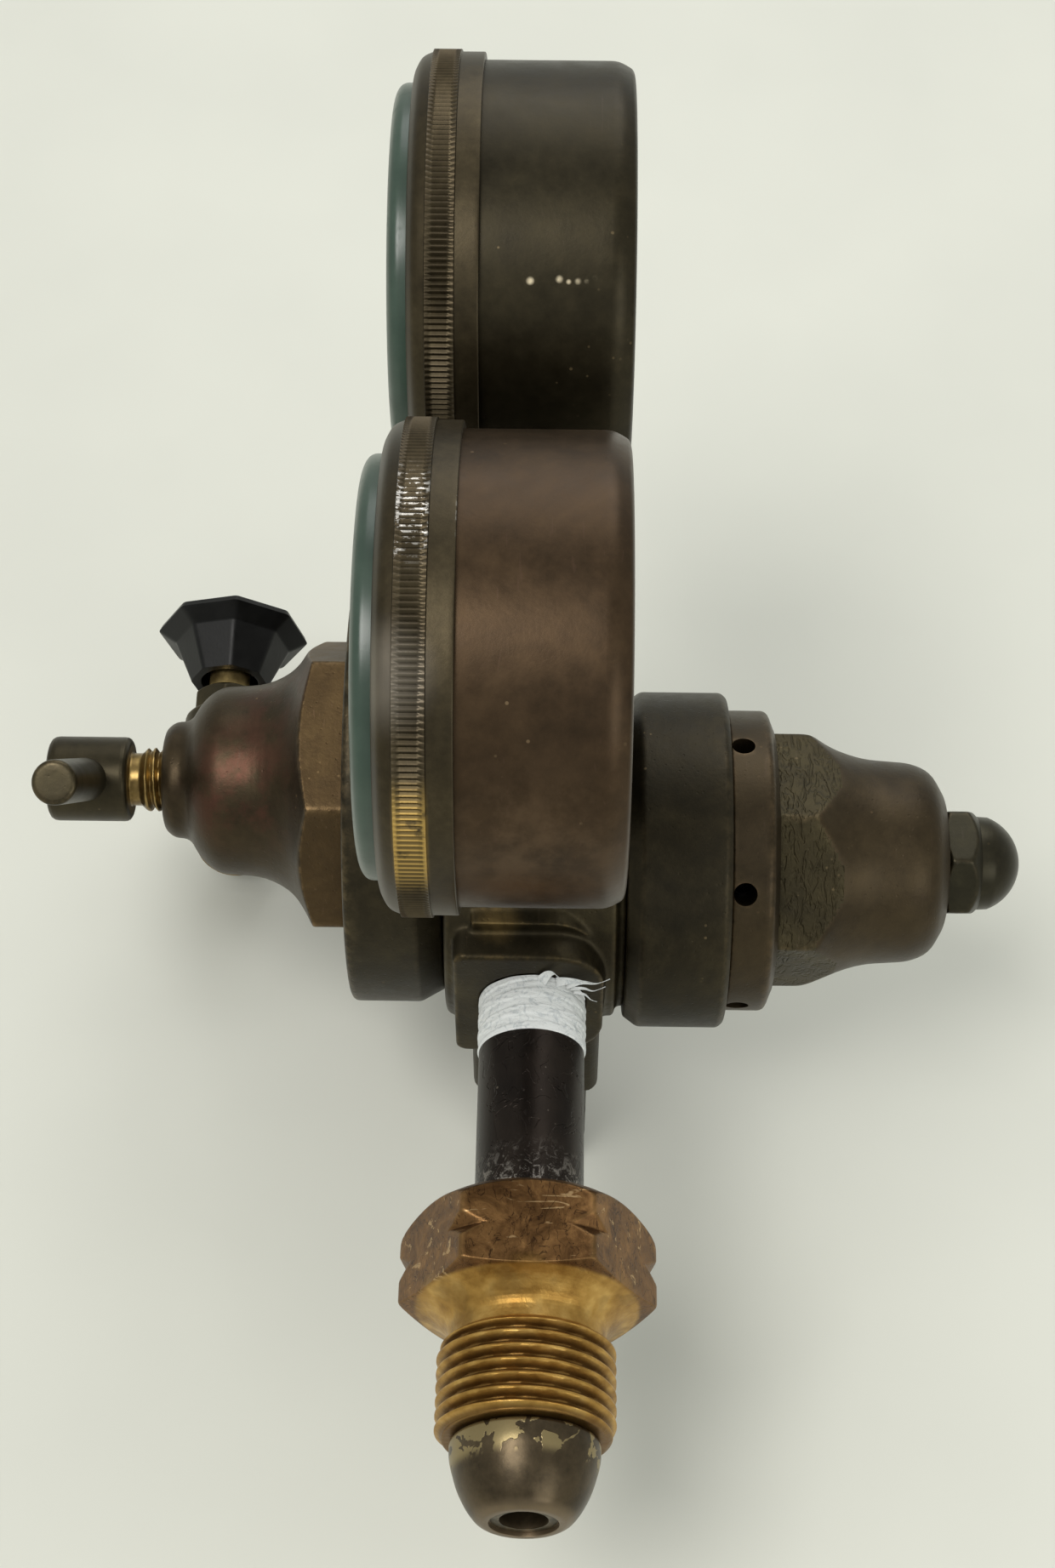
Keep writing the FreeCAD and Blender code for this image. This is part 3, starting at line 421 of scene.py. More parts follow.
def aged_bronze(name, dark, mid, light, bare, rough=0.42, grain=0.02, metal=0.8, bare_share=0.6,
                patches=(), pits=True, scratches=0.3, dents=0.0):
    """Oxidised bronze: cloudy brown skin, worn bright on its edges, with pits, specks and scratches."""
    s = Surface(name)
    clouds = s.noise(14, 5, 0.62, distortion=0.6)
    mottle = s.noise(2.6, 6, 0.7)
    tone = s.plus(s.times(clouds, 0.62), s.times(mottle, 0.38))
    colour = s.ramp(tone, (0.30, olive(dark)), (0.50, olive(mid)), (0.72, olive(light)))
    for centre, radius, tint, strength in patches:
        spot = s.times(s.near(centre, radius, 0.85), s.band(s.noise(7, 5, 0.65), 0.36, 0.62))
        colour = s.mix(s.times(spot, strength), colour, tint)
    worn = s.times(s.wear(), s.band(s.noise(1.8, 5, 0.7), 0.38, 0.66))
    colour = s.mix(s.times(worn, bare_share), colour, bare)
    specks = s.times(s.band(s.cells(1.9), 0.13, 0.07), s.band(s.noise(9, 3, 0.6), 0.56, 0.66))
    colour = s.mix(s.times(specks, 0.5), colour, bare)
    lines = s.noise(0.5, 2, 0.5, stretch=(0.06, 1, 0.35), distortion=0.4)
    scored = s.times(s.band(lines, 0.66, 0.70), s.band(s.noise(12, 2, 0.5), 0.50, 0.62))
    colour = s.mix(s.times(scored, scratches), colour, light)
    roughness = s.plus(rough - 0.12, s.times(mottle, 0.26))
    roughness = s.math("SUBTRACT", roughness, s.times(worn, 0.10), clamp=True)
    s.set(Base_Color=colour, Metallic=metal, Roughness=roughness)
    s.bump(s.noise(0.55, 4, 0.65), grain)
    s.bump(s.noise(3.5, 4, 0.55), grain * 1.6)
    if pits:
        s.bump(s.math("SUBTRACT", 1.0, s.band(s.cells(1.3), 0.16, 0.05)), grain * 1.3, 0.6)
    if dents:
        s.bump(s.band(s.noise(1.5, 2, 0.5, stretch=(0.5, 1.4, 0.7), distortion=1.0), 0.36, 0.52), 0.22, dents)
    return s.material


def bright_brass(name, dark, light, rough=0.3, grain=0.012, tarnish=(0.06, 0.035, 0.015), share=0.5):
    """Bare brass with brown tarnish lying in its low places."""
    s = Surface(name)
    tone = s.noise(3.0, 6, 0.65, distortion=0.5)
    colour = s.ramp(tone, (0.32, dark), (0.66, light))
    low = s.band(s.wear(), 0.55, 0.0)
    stain = s.times(low, s.band(s.noise(5, 5, 0.7), 0.34, 0.60))
    colour = s.mix(s.times(stain, share), colour, tarnish)
    s.set(Base_Color=colour, Metallic=0.92, Roughness=s.plus(rough - 0.08, s.times(tone, 0.2)))
    s.bump(s.noise(0.4, 3, 0.6), grain)
    return s.material


def machined(name, colour, dark, rough=0.32):
    """Plain worked metal of the hidden pieces."""
    s = Surface(name)
    tone = s.noise(1.6, 4, 0.6)
    s.set(Base_Color=s.ramp(tone, (0.3, dark), (0.7, colour)), Metallic=0.9,
          Roughness=s.plus(rough - 0.05, s.times(tone, 0.15)))
    s.bump(s.noise(0.3, 2, 0.5), 0.008)
    return s.material


near_gauge = joint_point("inlet_gauge_pointer_turn")
far_gauge = joint_point("delivery_gauge_pointer_turn")
OLD_GOLD = (0.40, 0.27, 0.10)

body_skin = aged_bronze("body_skin", (0.016, 0.012, 0.008), (0.034, 0.025, 0.016), (0.072, 0.054, 0.033),
                        OLD_GOLD, rough=0.46, grain=0.035, bare_share=0.3,
                        patches=[((body_x + 26, -5, 14.2), 4.5, OLD_GOLD, 0.45)])
bonnet_skin = aged_bronze("bonnet_skin", (0.023, 0.0150, 0.010), (0.045, 0.0300, 0.020),
    (0.070, 0.047, 0.031),
                          (0.24, 0.155, 0.08), rough=0.42, grain=0.026, bare_share=0.4,
                          patches=[((front_x + 8, -41, 10), 13, (0.095, 0.034, 0.023), 0.7),
                                   ((front_x - 4, -36, 16), 10, (0.085, 0.032, 0.022), 0.6)])
hex_skin = aged_bronze("hex_skin", (0.044, 0.026, 0.014), (0.082, 0.048, 0.026), (0.140, 0.085, 0.046),
                       (0.32, 0.21, 0.10), rough=0.5, grain=0.05, scratches=0.5)
rear_hex_skin = aged_bronze("rear_hex_skin", (0.024, 0.018, 0.012), (0.048, 0.036, 0.023),
    (0.092, 0.070, 0.044),
                            (0.24, 0.17, 0.09), rough=0.5, grain=0.05, scratches=0.6, dents=0.6)
ring_skin = aged_bronze("ring_skin", (0.014, 0.011, 0.008), (0.028, 0.021, 0.0145), (0.056, 0.042, 0.028),
                        (0.22, 0.16, 0.085), rough=0.44, grain=0.03, bare_share=0.4)
# The near case's patch is a painted highlight: a paler reddish-brown spot in the middle of the side that faces the
# camera.
near_skin = aged_bronze("near_gauge_skin", (0.028, 0.0165, 0.0108), (0.050, 0.0285, 0.0185),
    (0.078, 0.045, 0.029),
                        (0.26, 0.18, 0.10), rough=0.37, grain=0.010, pits=False, bare_share=0.3,
                        patches=[((near_gauge.x + 24, 0, near_gauge.z + 2), 17, (0.125, 0.080, 0.046), 0.5)])
far_skin = aged_bronze("far_gauge_skin", (0.016, 0.0120, 0.0080), (0.027, 0.0205, 0.0135),
    (0.044, 0.033, 0.022),
                       (0.26, 0.19, 0.10), rough=0.38, grain=0.010, pits=False, bare_share=0.3,
                       patches=[((far_gauge.x + 19.6, depth, far_gauge.z + height), size,
                       (0.70, 0.60, 0.42), 1.0)
                                for depth, height, size in ((-1.0, 18.2, 0.6), (2.4, 18.5, 0.6),
                                (3.5, 18.1, 0.4),
                                                            (4.6, 18.2, 0.5), (5.6, 18.2, 0.4),
                                                            (6.6, 18.7, 0.6))])
handle_skin = aged_bronze("handle_skin", (0.022, 0.017, 0.011), (0.042, 0.032, 0.022), (0.078, 0.060, 0.040),
                          (0.20, 0.15, 0.085), rough=0.40, grain=0.014, bare_share=0.4)
movement_skin = machined("movement_skin", (0.66, 0.50, 0.20), (0.40, 0.28, 0.10))
worked_skin = machined("worked_skin", (0.58, 0.43, 0.18), (0.30, 0.20, 0.08))
spring_skin = machined("spring_skin", (0.42, 0.42, 0.43), (0.22, 0.22, 0.23), 0.3)
cap_skin = aged_bronze("cap_skin", (0.017, 0.014, 0.011), (0.030, 0.025, 0.019), (0.054, 0.045, 0.033),
                       (0.18, 0.13, 0.07), rough=0.36, grain=0.014, pits=False, bare_share=0.35)


def nut_material():
    """Copper-brown scratched hex that turns to bright brass on the neck and thread."""
    s = Surface("nut_skin")
    mottle = s.noise(3.4, 6, 0.68, distortion=0.8)
    hexagon = s.ramp(mottle, (0.30, (0.075, 0.036, 0.013)), (0.50, (0.165, 0.084, 0.031)),
        (0.70, (0.29, 0.155, 0.058)))
    scratch = s.band(s.noise(1.1, 3, 0.6, stretch=(0.5, 0.12, 0.5), distortion=1.5), 0.635, 0.665)
    hexagon = s.mix(s.times(scratch, 0.75), hexagon, (0.50, 0.34, 0.17))
    dents = s.band(s.noise(1.3, 3, 0.6, distortion=2.2), 0.34, 0.30)
    hexagon = s.mix(s.times(dents, 0.7), hexagon, (0.06, 0.028, 0.012))
    veins = s.noise(2.6, 3, 0.55, stretch=(0.5, 1, 1), distortion=1.3)
    cracks = s.times(s.band(veins, 0.486, 0.498), s.band(veins, 0.514, 0.502))
    hexagon = s.mix(s.times(cracks, 0.8), hexagon, (0.035, 0.017, 0.008))
    hexagon = s.mix(s.times(s.wear(), 0.5), hexagon, (0.36, 0.225, 0.09))
    from_axis = s.off_line(1, 2)
    fine = s.noise(2.6, 3, 0.5)
    brass = s.ramp(fine, (0.30, (0.27, 0.145, 0.032)), (0.52, (0.42, 0.245, 0.062)),
        (0.72, (0.58, 0.37, 0.115)))
    low = s.times(s.band(s.wear(), 0.22, 0.0), s.band(s.noise(5, 3, 0.5), 0.50, 0.66))
    brass = s.mix(s.times(low, 0.45), brass, (0.12, 0.066, 0.02))
    root = s.times(s.band(from_axis, 0.01105, 0.0104), s.band(s.axis(0), -0.0062, -0.0056))
    brass = s.mix(s.times(root, 0.72), brass, (0.085, 0.040, 0.012))
    forward = s.times(s.band(s.axis(0), -0.0135, -0.0115), s.band(from_axis, 0.0146, 0.0138))
    s.set(Base_Color=s.mix(forward, hexagon, brass), Metallic=0.9,
          Roughness=s.plus(0.30, s.times(mottle, 0.22)))
    s.bump(s.noise(0.6, 5, 0.7), 0.03)
    s.bump(s.noise(2.2, 4, 0.6, distortion=1.2), 0.09, 0.8)
    return s.material


def stem_material():
    """Blackened stem, scuffed grey beside the nut; the nose is dark bronze with pale tan blotches."""
    s = Surface("stem_skin")
    tone = s.noise(6, 5, 0.6, stretch=(0.5, 1, 1))
    stem = s.ramp(tone, (0.30, (0.011, 0.008, 0.0065)), (0.70, (0.030, 0.022, 0.017)))
    beside_nut = s.band(s.axis(0), -0.0335, -0.0245)
    scuffs = s.band(s.noise(1.3, 5, 0.75, distortion=1.2), 0.50, 0.60)
    stem = s.mix(s.times(s.times(scuffs, beside_nut), 0.8), stem, (0.33, 0.30, 0.27))
    flecks = s.band(s.cells(1.5), 0.14, 0.08)
    flecks = s.times(flecks, s.band(s.noise(5, 3, 0.6), 0.54, 0.64))
    stem = s.mix(s.times(flecks, 0.6), stem, (0.36, 0.30, 0.24))
    nose = s.ramp(s.noise(5, 6, 0.65), (0.32, (0.038, 0.028, 0.016)), (0.68, (0.105, 0.077, 0.044)))
    rim = s.band(s.axis(0), 0.0105, 0.0090)
    blotch = s.times(rim, s.band(s.noise(4.2, 3, 0.55, distortion=1.0), 0.475, 0.50))
    nose = s.mix(s.times(blotch, 0.85), nose, (0.30, 0.235, 0.115))
    edge = s.band(s.axis(0), 0.0148, 0.0160)
    nose = s.mix(s.times(edge, 0.4), nose, (0.28, 0.21, 0.135))
    ahead = s.band(s.axis(0), 0.0, 0.001)
    s.set(Base_Color=s.mix(ahead, stem, nose), Metallic=0.82,
          Roughness=s.plus(0.26, s.times(tone, 0.22)))
    s.bump(s.noise(0.5, 4, 0.6), 0.012)
    s.bump(blotch, 0.05)
    return s.material


def knurl_material():
    """Gauge rings: brown, rubbed to gold low on the near ring and scuffed white above."""
    s = Surface("knurl_skin")
    tone = s.plus(s.times(s.noise(10, 5, 0.6), 0.6), s.times(s.noise(1.4, 5, 0.7), 0.4))
    colour = s.ramp(tone, (0.32, (0.026, 0.0195, 0.010)), (0.52, (0.046, 0.035, 0.018)),
        (0.72, (0.074, 0.057, 0.030)))
    ridge = s.wear()
    colour = s.mix(s.times(ridge, 0.25), colour, (0.16, 0.12, 0.075))
    low_front = (near_gauge.x + 27.6, -12.5, near_gauge.z + 4.9)
    rubbed = s.times(s.near(low_front, 9.5, 0.7), s.band(s.noise(2.5, 4, 0.6), 0.30, 0.46))
    rubbed = s.times(rubbed, s.band(ridge, -0.25, 0.5))
    rubbed = s.times(rubbed, s.band(s.axis(1), -0.0104, -0.0109))
    rubbed = s.times(rubbed, s.band(s.axis(1), -0.0146, -0.0142))
    colour = s.mix(s.times(rubbed, 0.9), colour, (0.50, 0.33, 0.095))
    high_front = (near_gauge.x + 1, -14.5, near_gauge.z + 28)
    dashes = s.band(s.noise(0.8, 4, 0.7, stretch=(1, 0.5, 1)), 0.50, 0.57)
    scuffed = s.times(s.near(high_front, 8, 0.6), s.times(dashes, s.band(ridge, 0.02, 0.25)))
    colour = s.mix(s.times(scuffed, 0.85), colour, (0.55, 0.53, 0.50))
    smear = s.near((near_gauge.x + 17.4, -15.9, near_gauge.z + 20.7), 7.5, 0.8)
    colour = s.mix(s.times(smear, 0.45), colour, (0.30, 0.265, 0.22))
    s.set(Base_Color=colour, Metallic=0.8, Roughness=s.plus(0.30, s.times(tone, 0.2)))
    s.bump(s.noise(0.4, 4, 0.65), 0.012)
    return s.material


def lens_material(name, pivot):
    """Thick old plastic: a clear, lightly hazed face and a green-tinted frosted rim."""
    s = Surface(name)
    haze = s.noise(6, 5, 0.6)
    rim = s.ramp(haze, (0.3, (0.040, 0.074, 0.054)), (0.7, (0.066, 0.110, 0.082)))
    face = s.band(s.off_line(0, 2, (pivot.x, pivot.z)), 0.0221, 0.0208)
    frost = s.plus(0.28, s.times(s.band(s.noise(2, 6, 0.75), 0.52, 0.7), 0.12))
    s.set(Base_Color=s.mix(face, rim, (0.82, 0.90, 0.84)),
          Roughness=s.times(frost, s.band(face, 1.1, 0.0)),
          Transmission_Weight=s.plus(0.4, s.times(face, 0.6)), IOR=1.49)
    s.bump(s.noise(8, 2, 0.5), 0.02)
    return s.material


def tape_material():
    """White thread tape: thin wound film with grey smudges and fine stretch lines."""
    s = Surface("tape_skin")
    smudge = s.band(s.noise(1.7, 5, 0.7, distortion=1.8), 0.50, 0.62)
    colour = s.mix(s.times(smudge, 0.55), (0.78, 0.80, 0.80), (0.42, 0.46, 0.49))
    s.set(Base_Color=colour, Roughness=0.55, Subsurface_Weight=0.12, Subsurface_Radius=(0.002, 0.002, 0.002))
    s.bump(s.noise(0.9, 5, 0.7, stretch=(2.2, 0.5, 0.5), distortion=1.0), 0.10)
    return s.material


def knob_material():
    s = Surface("knob_skin")
    bloom = s.noise(4, 5, 0.6)
    s.set(Base_Color=s.ramp(bloom, (0.35, (0.003, 0.003, 0.003)), (0.75, (0.008, 0.008, 0.008))),
          Roughness=s.plus(0.28, s.times(bloom, 0.25)), Specular_IOR_Level=0.22)
    s.bump(s.noise(0.5, 3, 0.6), 0.015)
    return s.material


def paint_material(name, dark, light, rough):
    s = Surface(name)
    tone = s.noise(5, 5, 0.6)
    s.set(Base_Color=s.ramp(tone, (0.3, dark), (0.7, light)), Roughness=rough)
    s.bump(s.noise(0.6, 3, 0.5), 0.006)
    return s.material


nut_skin = nut_material()
stem_skin = stem_material()
knurl_skin = knurl_material()
tape_skin = tape_material()
knob_skin = knob_material()
dial_skin = paint_material("dial_skin", (0.66, 0.66, 0.60), (0.78, 0.78, 0.72), 0.45)
ink_skin = paint_material("ink_skin", (0.008, 0.008, 0.008), (0.020, 0.020, 0.020), 0.45)
rubber_skin = paint_material("rubber_skin", (0.015, 0.015, 0.015), (0.035, 0.034, 0.032), 0.7)
needle_skin = paint_material("needle_skin", (0.010, 0.010, 0.010), (0.022, 0.022, 0.022), 0.4)


def dress(piece, material, body, slot, *nodes):
    """Gives a finished piece its material and body, and hides the CAD nodes that it stands for. The slot argument
    is not used.
    """
    piece.data.materials.clear()
    piece.data.materials.append(material)
    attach(piece, body)
    if nodes:
        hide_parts(*nodes)
    return piece


# ---------------------------------------------------------------- body and cast pieces
body_piece = softened("body_casting", 0.32, 5, "body")
dress(mark_wear(body_piece, 1.0, 0.8), body_skin, "regulator", "dark_bronze", "body")

elbow_piece = softened("outlet_elbow_casting", 0.3, 4, "outlet_elbow")
dress(mark_wear(elbow_piece), body_skin, "regulator", "dark_bronze", "outlet_elbow")
valve_piece = softened("valve_casting", 0.3, 4, "valve_body")
dress(mark_wear(valve_piece), body_skin, "regulator", "dark_bronze", "valve_body")


# ---------------------------------------------------------------- front stage
RING_R = 31.5
FLAT_TILT = 0.25              # a wrench flat faces straight out, within this share of the axis
FRONT_HEX_AF = 38.1
FRONT_CORNER = 43.8

front_ring = spun("front_ring_turned", FRONT, rounded(
    (18.6, 27.5), (12.5, 27.5), (12.5, 29.5, 0.4), (16.0, RING_R, 0.5), (25.8, RING_R, 1.0),
    (25.8, 22.3, 0.4), (23.0, 22.3), (22.8, 27.4), (18.6, 27.4)), segments=200)
dress(mark_wear(front_ring, 1, 1.5), ring_skin, "regulator", "dark_bronze", "front_ring")


def front_hex(along, radius, theta):
    prism = polygon_radius(theta, FRONT_HEX_AF, FRONT_CORNER, blend=0.5)
    return np.where((along > 22.9) & (radius > 11), soft_min(radius, prism, 0.5), radius)


front_bonnet = spun("front_bonnet_turned", FRONT, rounded(
    (22.8, 15.0), (22.8, 26.5), (22.95, 26.5), (23.0, 24.0), (31.0, 22.8, 1.0), (32.3, 19.9, 2.2),
    (34.6, 16.2, 3.4),
    (38.8, 13.9, 2.5), (45.6, 13.5, 2.2), (48.0, 11.6, 2.4), (49.8, 8.55, 1.6), (52.2, 8.35, 1.2),
    (53.35, 7.3, 0.5),
    (53.4, 5.2, 0.2), (52.8, 4.66), (44.0, 4.66), (43.5, 10.5), (27.0, 10.5), (26.8, 15.0), step=0.55),
    front_hex, segments=300, closed=True)
dress(mark_wear(front_bonnet, 1.5, 1.3), bonnet_skin, "regulator", "dark_bronze", "front_bonnet")


def second_skin(piece, place, material, low, high, least_r=0.0, most_r=math.inf, across_only=True):
    """Gives a turned piece's faces between two stations and two radii a material of their own."""
    inverse = place.inverted()
    turn = inverse.to_3x3()
    piece.data.materials.append(material)
    for polygon in piece.data.polygons:
        centre = inverse @ polygon.center
        across = abs((turn @ polygon.normal).normalized().z) < FLAT_TILT or not across_only
        if low < centre.z < high and least_r < math.hypot(centre.x, centre.y) < most_r and across:
            polygon.material_index = 1


second_skin(front_bonnet, FRONT, hex_skin, 25.0, 36.0, least_r=18.6)

SCREW_PITCH = 1.27


def thread_depth(along, theta, pitch, start, end, depth, hand=1, fade=0.8):
    """Depth below the crest of a helical thread that fades out at both ends."""
    phase = np.mod(along / pitch - hand * theta / (2 * math.pi), 1.0)
    valley = np.clip(1 - np.abs(phase - 0.5) / 0.42, 0, 1)
    ends = np.clip((along - start) / fade, 0, 1) * np.clip((end - along) / fade, 0, 1)
    return depth * np.minimum(valley, 0.86) / 0.86 * ends


def screw_thread(along, radius, theta):
    cut = thread_depth(along, theta, SCREW_PITCH, 42.6, 56.3, 0.62)
    return radius - np.where(radius > 4.3, cut, 0)


screw = spun("adjusting_screw_turned", FRONT, rounded(
    (41.0, 0.0), (41.0, 1.4), (42.1, 2.3), (42.1, 3.6), (43.0, 4.6), (56.1, 4.6), (56.9, 3.8, 0.3),
    (58.5, 3.8, 0.3),
    (58.5, 6.1, 1.0), (70.2, 6.1, 1.3), (70.2, 0.0), step=0.11), screw_thread, segments=96)
dress(mark_wear(screw, 0.6, 1.0), handle_skin, "adjusting_screw", "handle_bronze", "adjusting_screw")


thread_skin = bright_brass("thread_skin", (0.13, 0.085, 0.030), (0.34, 0.235, 0.085), rough=0.3)


second_skin(screw, FRONT, thread_skin, 40.0, 58.6, most_r=5.0, across_only=False)

BAR_ANGLE = math.radians(53.2)
bar_axis = Vector((math.cos(BAR_ANGLE), 0, math.sin(BAR_ANGLE)))
BAR = axis_frame(node_centre("handle_bar") / MM, bar_axis, (0, 1, 0))
bar = spun("handle_bar_turned", BAR, rounded(
    (-29.0, 0.0), (-29.0, 3.1, 0.8), (29.0, 3.1, 0.8), (29.0, 0.0), step=1.0), segments=72)
dress(mark_wear(bar, 1.5, 1.4), handle_skin, "adjusting_screw", "handle_bronze", "handle_bar")


# ---------------------------------------------------------------- rear stage
REAR_HEX_AF = 31.75
REAR_CORNER = -14.7
VENT_R, VENT_STATION = 1.6, 28.4
VENT_ANGLES = [math.radians(-43.4 + 60 * index) for index in range(6)]

rear_ring = spun("rear_ring_turned", REAR, rounded(
    (12.6, 19.6), (12.6, 22.2, 0.3), (14.6, 23.66, 0.5), (25.9, 23.66, 0.5), (26.6, 23.0, 0.2), (26.6, 19.6),
    ), segments=200, closed=True)
dress(mark_wear(rear_ring, 1, 1.4), ring_skin, "regulator", "dark_bronze", "rear_ring")


def rear_hex(along, radius, theta):
    prism = polygon_radius(theta, REAR_HEX_AF, REAR_CORNER, blend=0.5)
    return np.where((along > 33.3) & (radius > 11.5), soft_min(radius, prism, 0.45), radius)


rear_bonnet = spun("rear_bonnet_turned", REAR, rounded(
    (26.65, 13.5), (26.65, 21.2, 0.4), (32.3, 21.2, 0.8), (33.3, 18.6, 0.5), (38.0, 18.5, 1.6),
    (41.6, 16.0, 2.5),
    (46.2, 14.5, 2.0), (52.9, 14.05, 2.4), (55.6, 12.9, 1.6), (57.5, 9.6, 0.8), (57.6, 4.7), (47.6, 4.7),
    (47.5, 11.0), (31.0, 11.0), (30.9, 13.5), step=0.55), rear_hex, segments=300, closed=True)


def drill(piece, place, radius, start, end, station, angles):
    """Cuts round holes straight in towards a turned part's axis."""
    cutters = []
    for angle in angles:
        outward = (math.cos(angle), math.sin(angle), 0)
        inward = axis_frame((0, 0, 0), outward, (0, 0, 1)) @ Matrix.Scale(1 / MM, 4)
        hole = place @ Matrix.Translation((0, 0, station)) @ inward
        cutters.append(spun("cutter", hole, rounded(
            (start, 0.0), (start, radius), (end, radius), (end, 0.0)), segments=40))
    for cutter in cutters:
        boolean = piece.modifiers.new("hole", "BOOLEAN")
        boolean.operation, boolean.solver, boolean.object = "DIFFERENCE", "EXACT", cutter
    apply_modifiers(piece)
    for cutter in cutters:
        bpy.data.objects.remove(cutter)
    piece.data.shade_smooth()
    piece.data.set_sharp_from_angle(angle=math.radians(40))


drill(rear_bonnet, REAR, VENT_R, 12.0, 24.0, VENT_STATION, VENT_ANGLES)
dress(mark_wear(rear_bonnet, 1.5, 1.3), bonnet_skin, "regulator", "dark_bronze", "rear_bonnet")
second_skin(rear_bonnet, REAR, rear_hex_skin, 33.2, 44.0, least_r=15.2)


ACORN_AF, ACORN_CORNER = 14.29, -57.4
ACORN_HEX_END = 62.0


def acorn_shape(along, radius, theta):
    prism = polygon_radius(theta, ACORN_AF, ACORN_CORNER, blend=0.3)
    return np.where((along < ACORN_HEX_END) & (radius > 5), soft_min(radius, prism, 0.3), radius)


DOME_CENTRE, DOME_R = 61.5, 6.95
dome = [(DOME_CENTRE + DOME_R * math.sin(t), DOME_R * math.cos(t)) for t in np.linspace(0.36, math.pi / 2,
    14)]
dome[-1] = (DOME_CENTRE + DOME_R, 0.0)
acorn_outline = np.concatenate([rounded((57.6, 4.6), (57.6, 7.4, 0.3), (58.2, 8.3, 0.4), (60.7, 8.3, 0.5),
                                        (62.0, 7.0, 0.4), (62.4, 6.6, 0.3), step=0.4), np.array(dome)])
acorn = spun("acorn_cap_turned", REAR, acorn_outline, acorn_shape, segments=160)
dress(mark_wear(acorn, 1, 1.2), cap_skin, "regulator", "dark_bronze", "acorn_cap")


# ---------------------------------------------------------------- inlet nipple, tape and nut
stem = spun("inlet_nipple_turned", INLET, rounded(
    (30.3, 3.0), (30.3, 7.1), (93.1, 7.1), (93.1, 9.1, 0.2), (93.5, 9.35, 0.3), (95.4, 9.3, 1.5),
    (98.9, 8.3, 2.5),
    (101.2, 7.1, 1.6), (102.6, 6.0, 0.8), (103.1, 5.1, 0.3), (103.1, 4.28, 0.1), (102.6, 4.28), (102.5, 3.0),
    step=0.9), segments=180, closed=True)
dress(mark_wear(stem, 1, 1.0), stem_skin, "regulator", "stem_dark", "inlet_nipple")

insert = spun("nose_insert_turned", INLET, rounded(
    (97.0, 3.02), (97.0, 4.26), (102.6, 4.26, 0.25), (102.6, 3.02, 0.25)), segments=90, closed=True)
dress(mark_wear(insert, 1, 1.0), handle_skin, "regulator", "worked_brass", "nose_insert")

NUT_AF = 28.575
NOTCH = 70.2
THREAD_PITCH = INCH / 14


def nut_shape(along, radius, theta):
    prism = polygon_radius(theta, NUT_AF, 0.0, blend=0.35)
    groove = 15.15 + 0.75 * np.abs(along - NOTCH)
    hexed = soft_min(soft_min(radius, prism, 0.3), groove, 0.12)
    cut = thread_depth(along, theta, THREAD_PITCH, 80.9, 92.7, 1.08, hand=-1, fade=0.7)
    reach = np.where((along < 75.55) & (radius > 11), hexed, radius)
    return np.where((along > 80.7) & (radius > 8.5), radius - cut, reach)


nut = spun("inlet_nut_turned", INLET, rounded(
    (63.3, 7.16), (63.3, 12.8, 0.5), (65.9, 16.6, 1.6), (74.8, 16.6, 0.6), (75.5, 14.2, 0.3),
    (76.3, 12.2, 1.8),
    (78.3, 9.95, 1.6), (80.6, 9.95, 0.3), (81.3, 11.24, 0.3), (92.0, 11.24, 0.3), (92.8, 10.2, 0.2),
    (92.8, 7.16),
    step=0.11), nut_shape, segments=288, closed=True)
dress(mark_wear(nut, 1, 1.0), nut_skin, "inlet_nut", "nut_brass", "inlet_nut")


def tape_shape(along, radius, theta):
    """Wound film: overlapping edges and shallow creases."""
    turns = np.mod((along - 30.3) / 2.6 - theta / (2 * math.pi), 1.0)
    lap = 0.10 * (turns > 0.5)
    crease = 0.05 * np.sin(9 * theta + 4 * np.sin(along * 1.7)) * np.sin(along * 2.3 + 3 * theta)
    return np.where(radius > 7.12, np.clip(radius - 0.12 + lap + crease, 7.12, 7.35), radius)


tape = spun("thread_tape_wound", INLET, rounded(
    (30.35, 7.1), (30.35, 7.33), (38.3, 7.33), (38.5, 7.1), step=0.16), tape_shape, segments=220, closed=True)
dress(tape, tape_skin, "regulator", "ptfe_tape", "thread_tape")


def ribbon(name, points, width, body, material, slot):
    """A narrow free-standing strip of film that follows a few points and narrows to its end."""
    count = 22
    path = []
    for step in range(count + 1):
        t = step / count * (len(points) - 1)
        index = min(int(t), len(points) - 2)
        p = [Vector(points[max(0, min(len(points) - 1, index + k))]) for k in (-1, 0, 1, 2)]
        s = t - index
        path.append(0.5 * ((2 * p[1]) + (p[2] - p[0]) * s + (2 * p[0] - 5 * p[1] + 4 * p[2] - p[3]) * s ** 2
                           + (3 * p[1] - p[0] - 3 * p[2] + p[3]) * s ** 3))
    vertices, faces = [], []
    for step, point in enumerate(path):
        ahead = path[min(step + 1, count)] - path[max(step - 1, 0)]
        side = ahead.cross(Vector((0.2, 0.1, 1))).normalized()
        side = (Matrix.Rotation(step * 0.11, 3,
            ahead.normalized()) @ side) * width / 2 * (1 - 0.8 * step / count)
        lift = ahead.cross(side).normalized() * 0.03
        for corner in (point - side - lift, point + side - lift, point + side + lift, point - side + lift):
            vertices.append(tuple(corner * MM))
        if step:
            base = 4 * step
            for k in range(4):
                m = (k + 1) % 4
                faces.append([base - 4 + k, base - 4 + m, base + m, base + k])
    faces += [[3, 2, 1, 0], [4 * count + k for k in range(4)]]
    piece = finish_mesh(name, vertices, faces, 60)
    return dress(piece, material, body, slot)


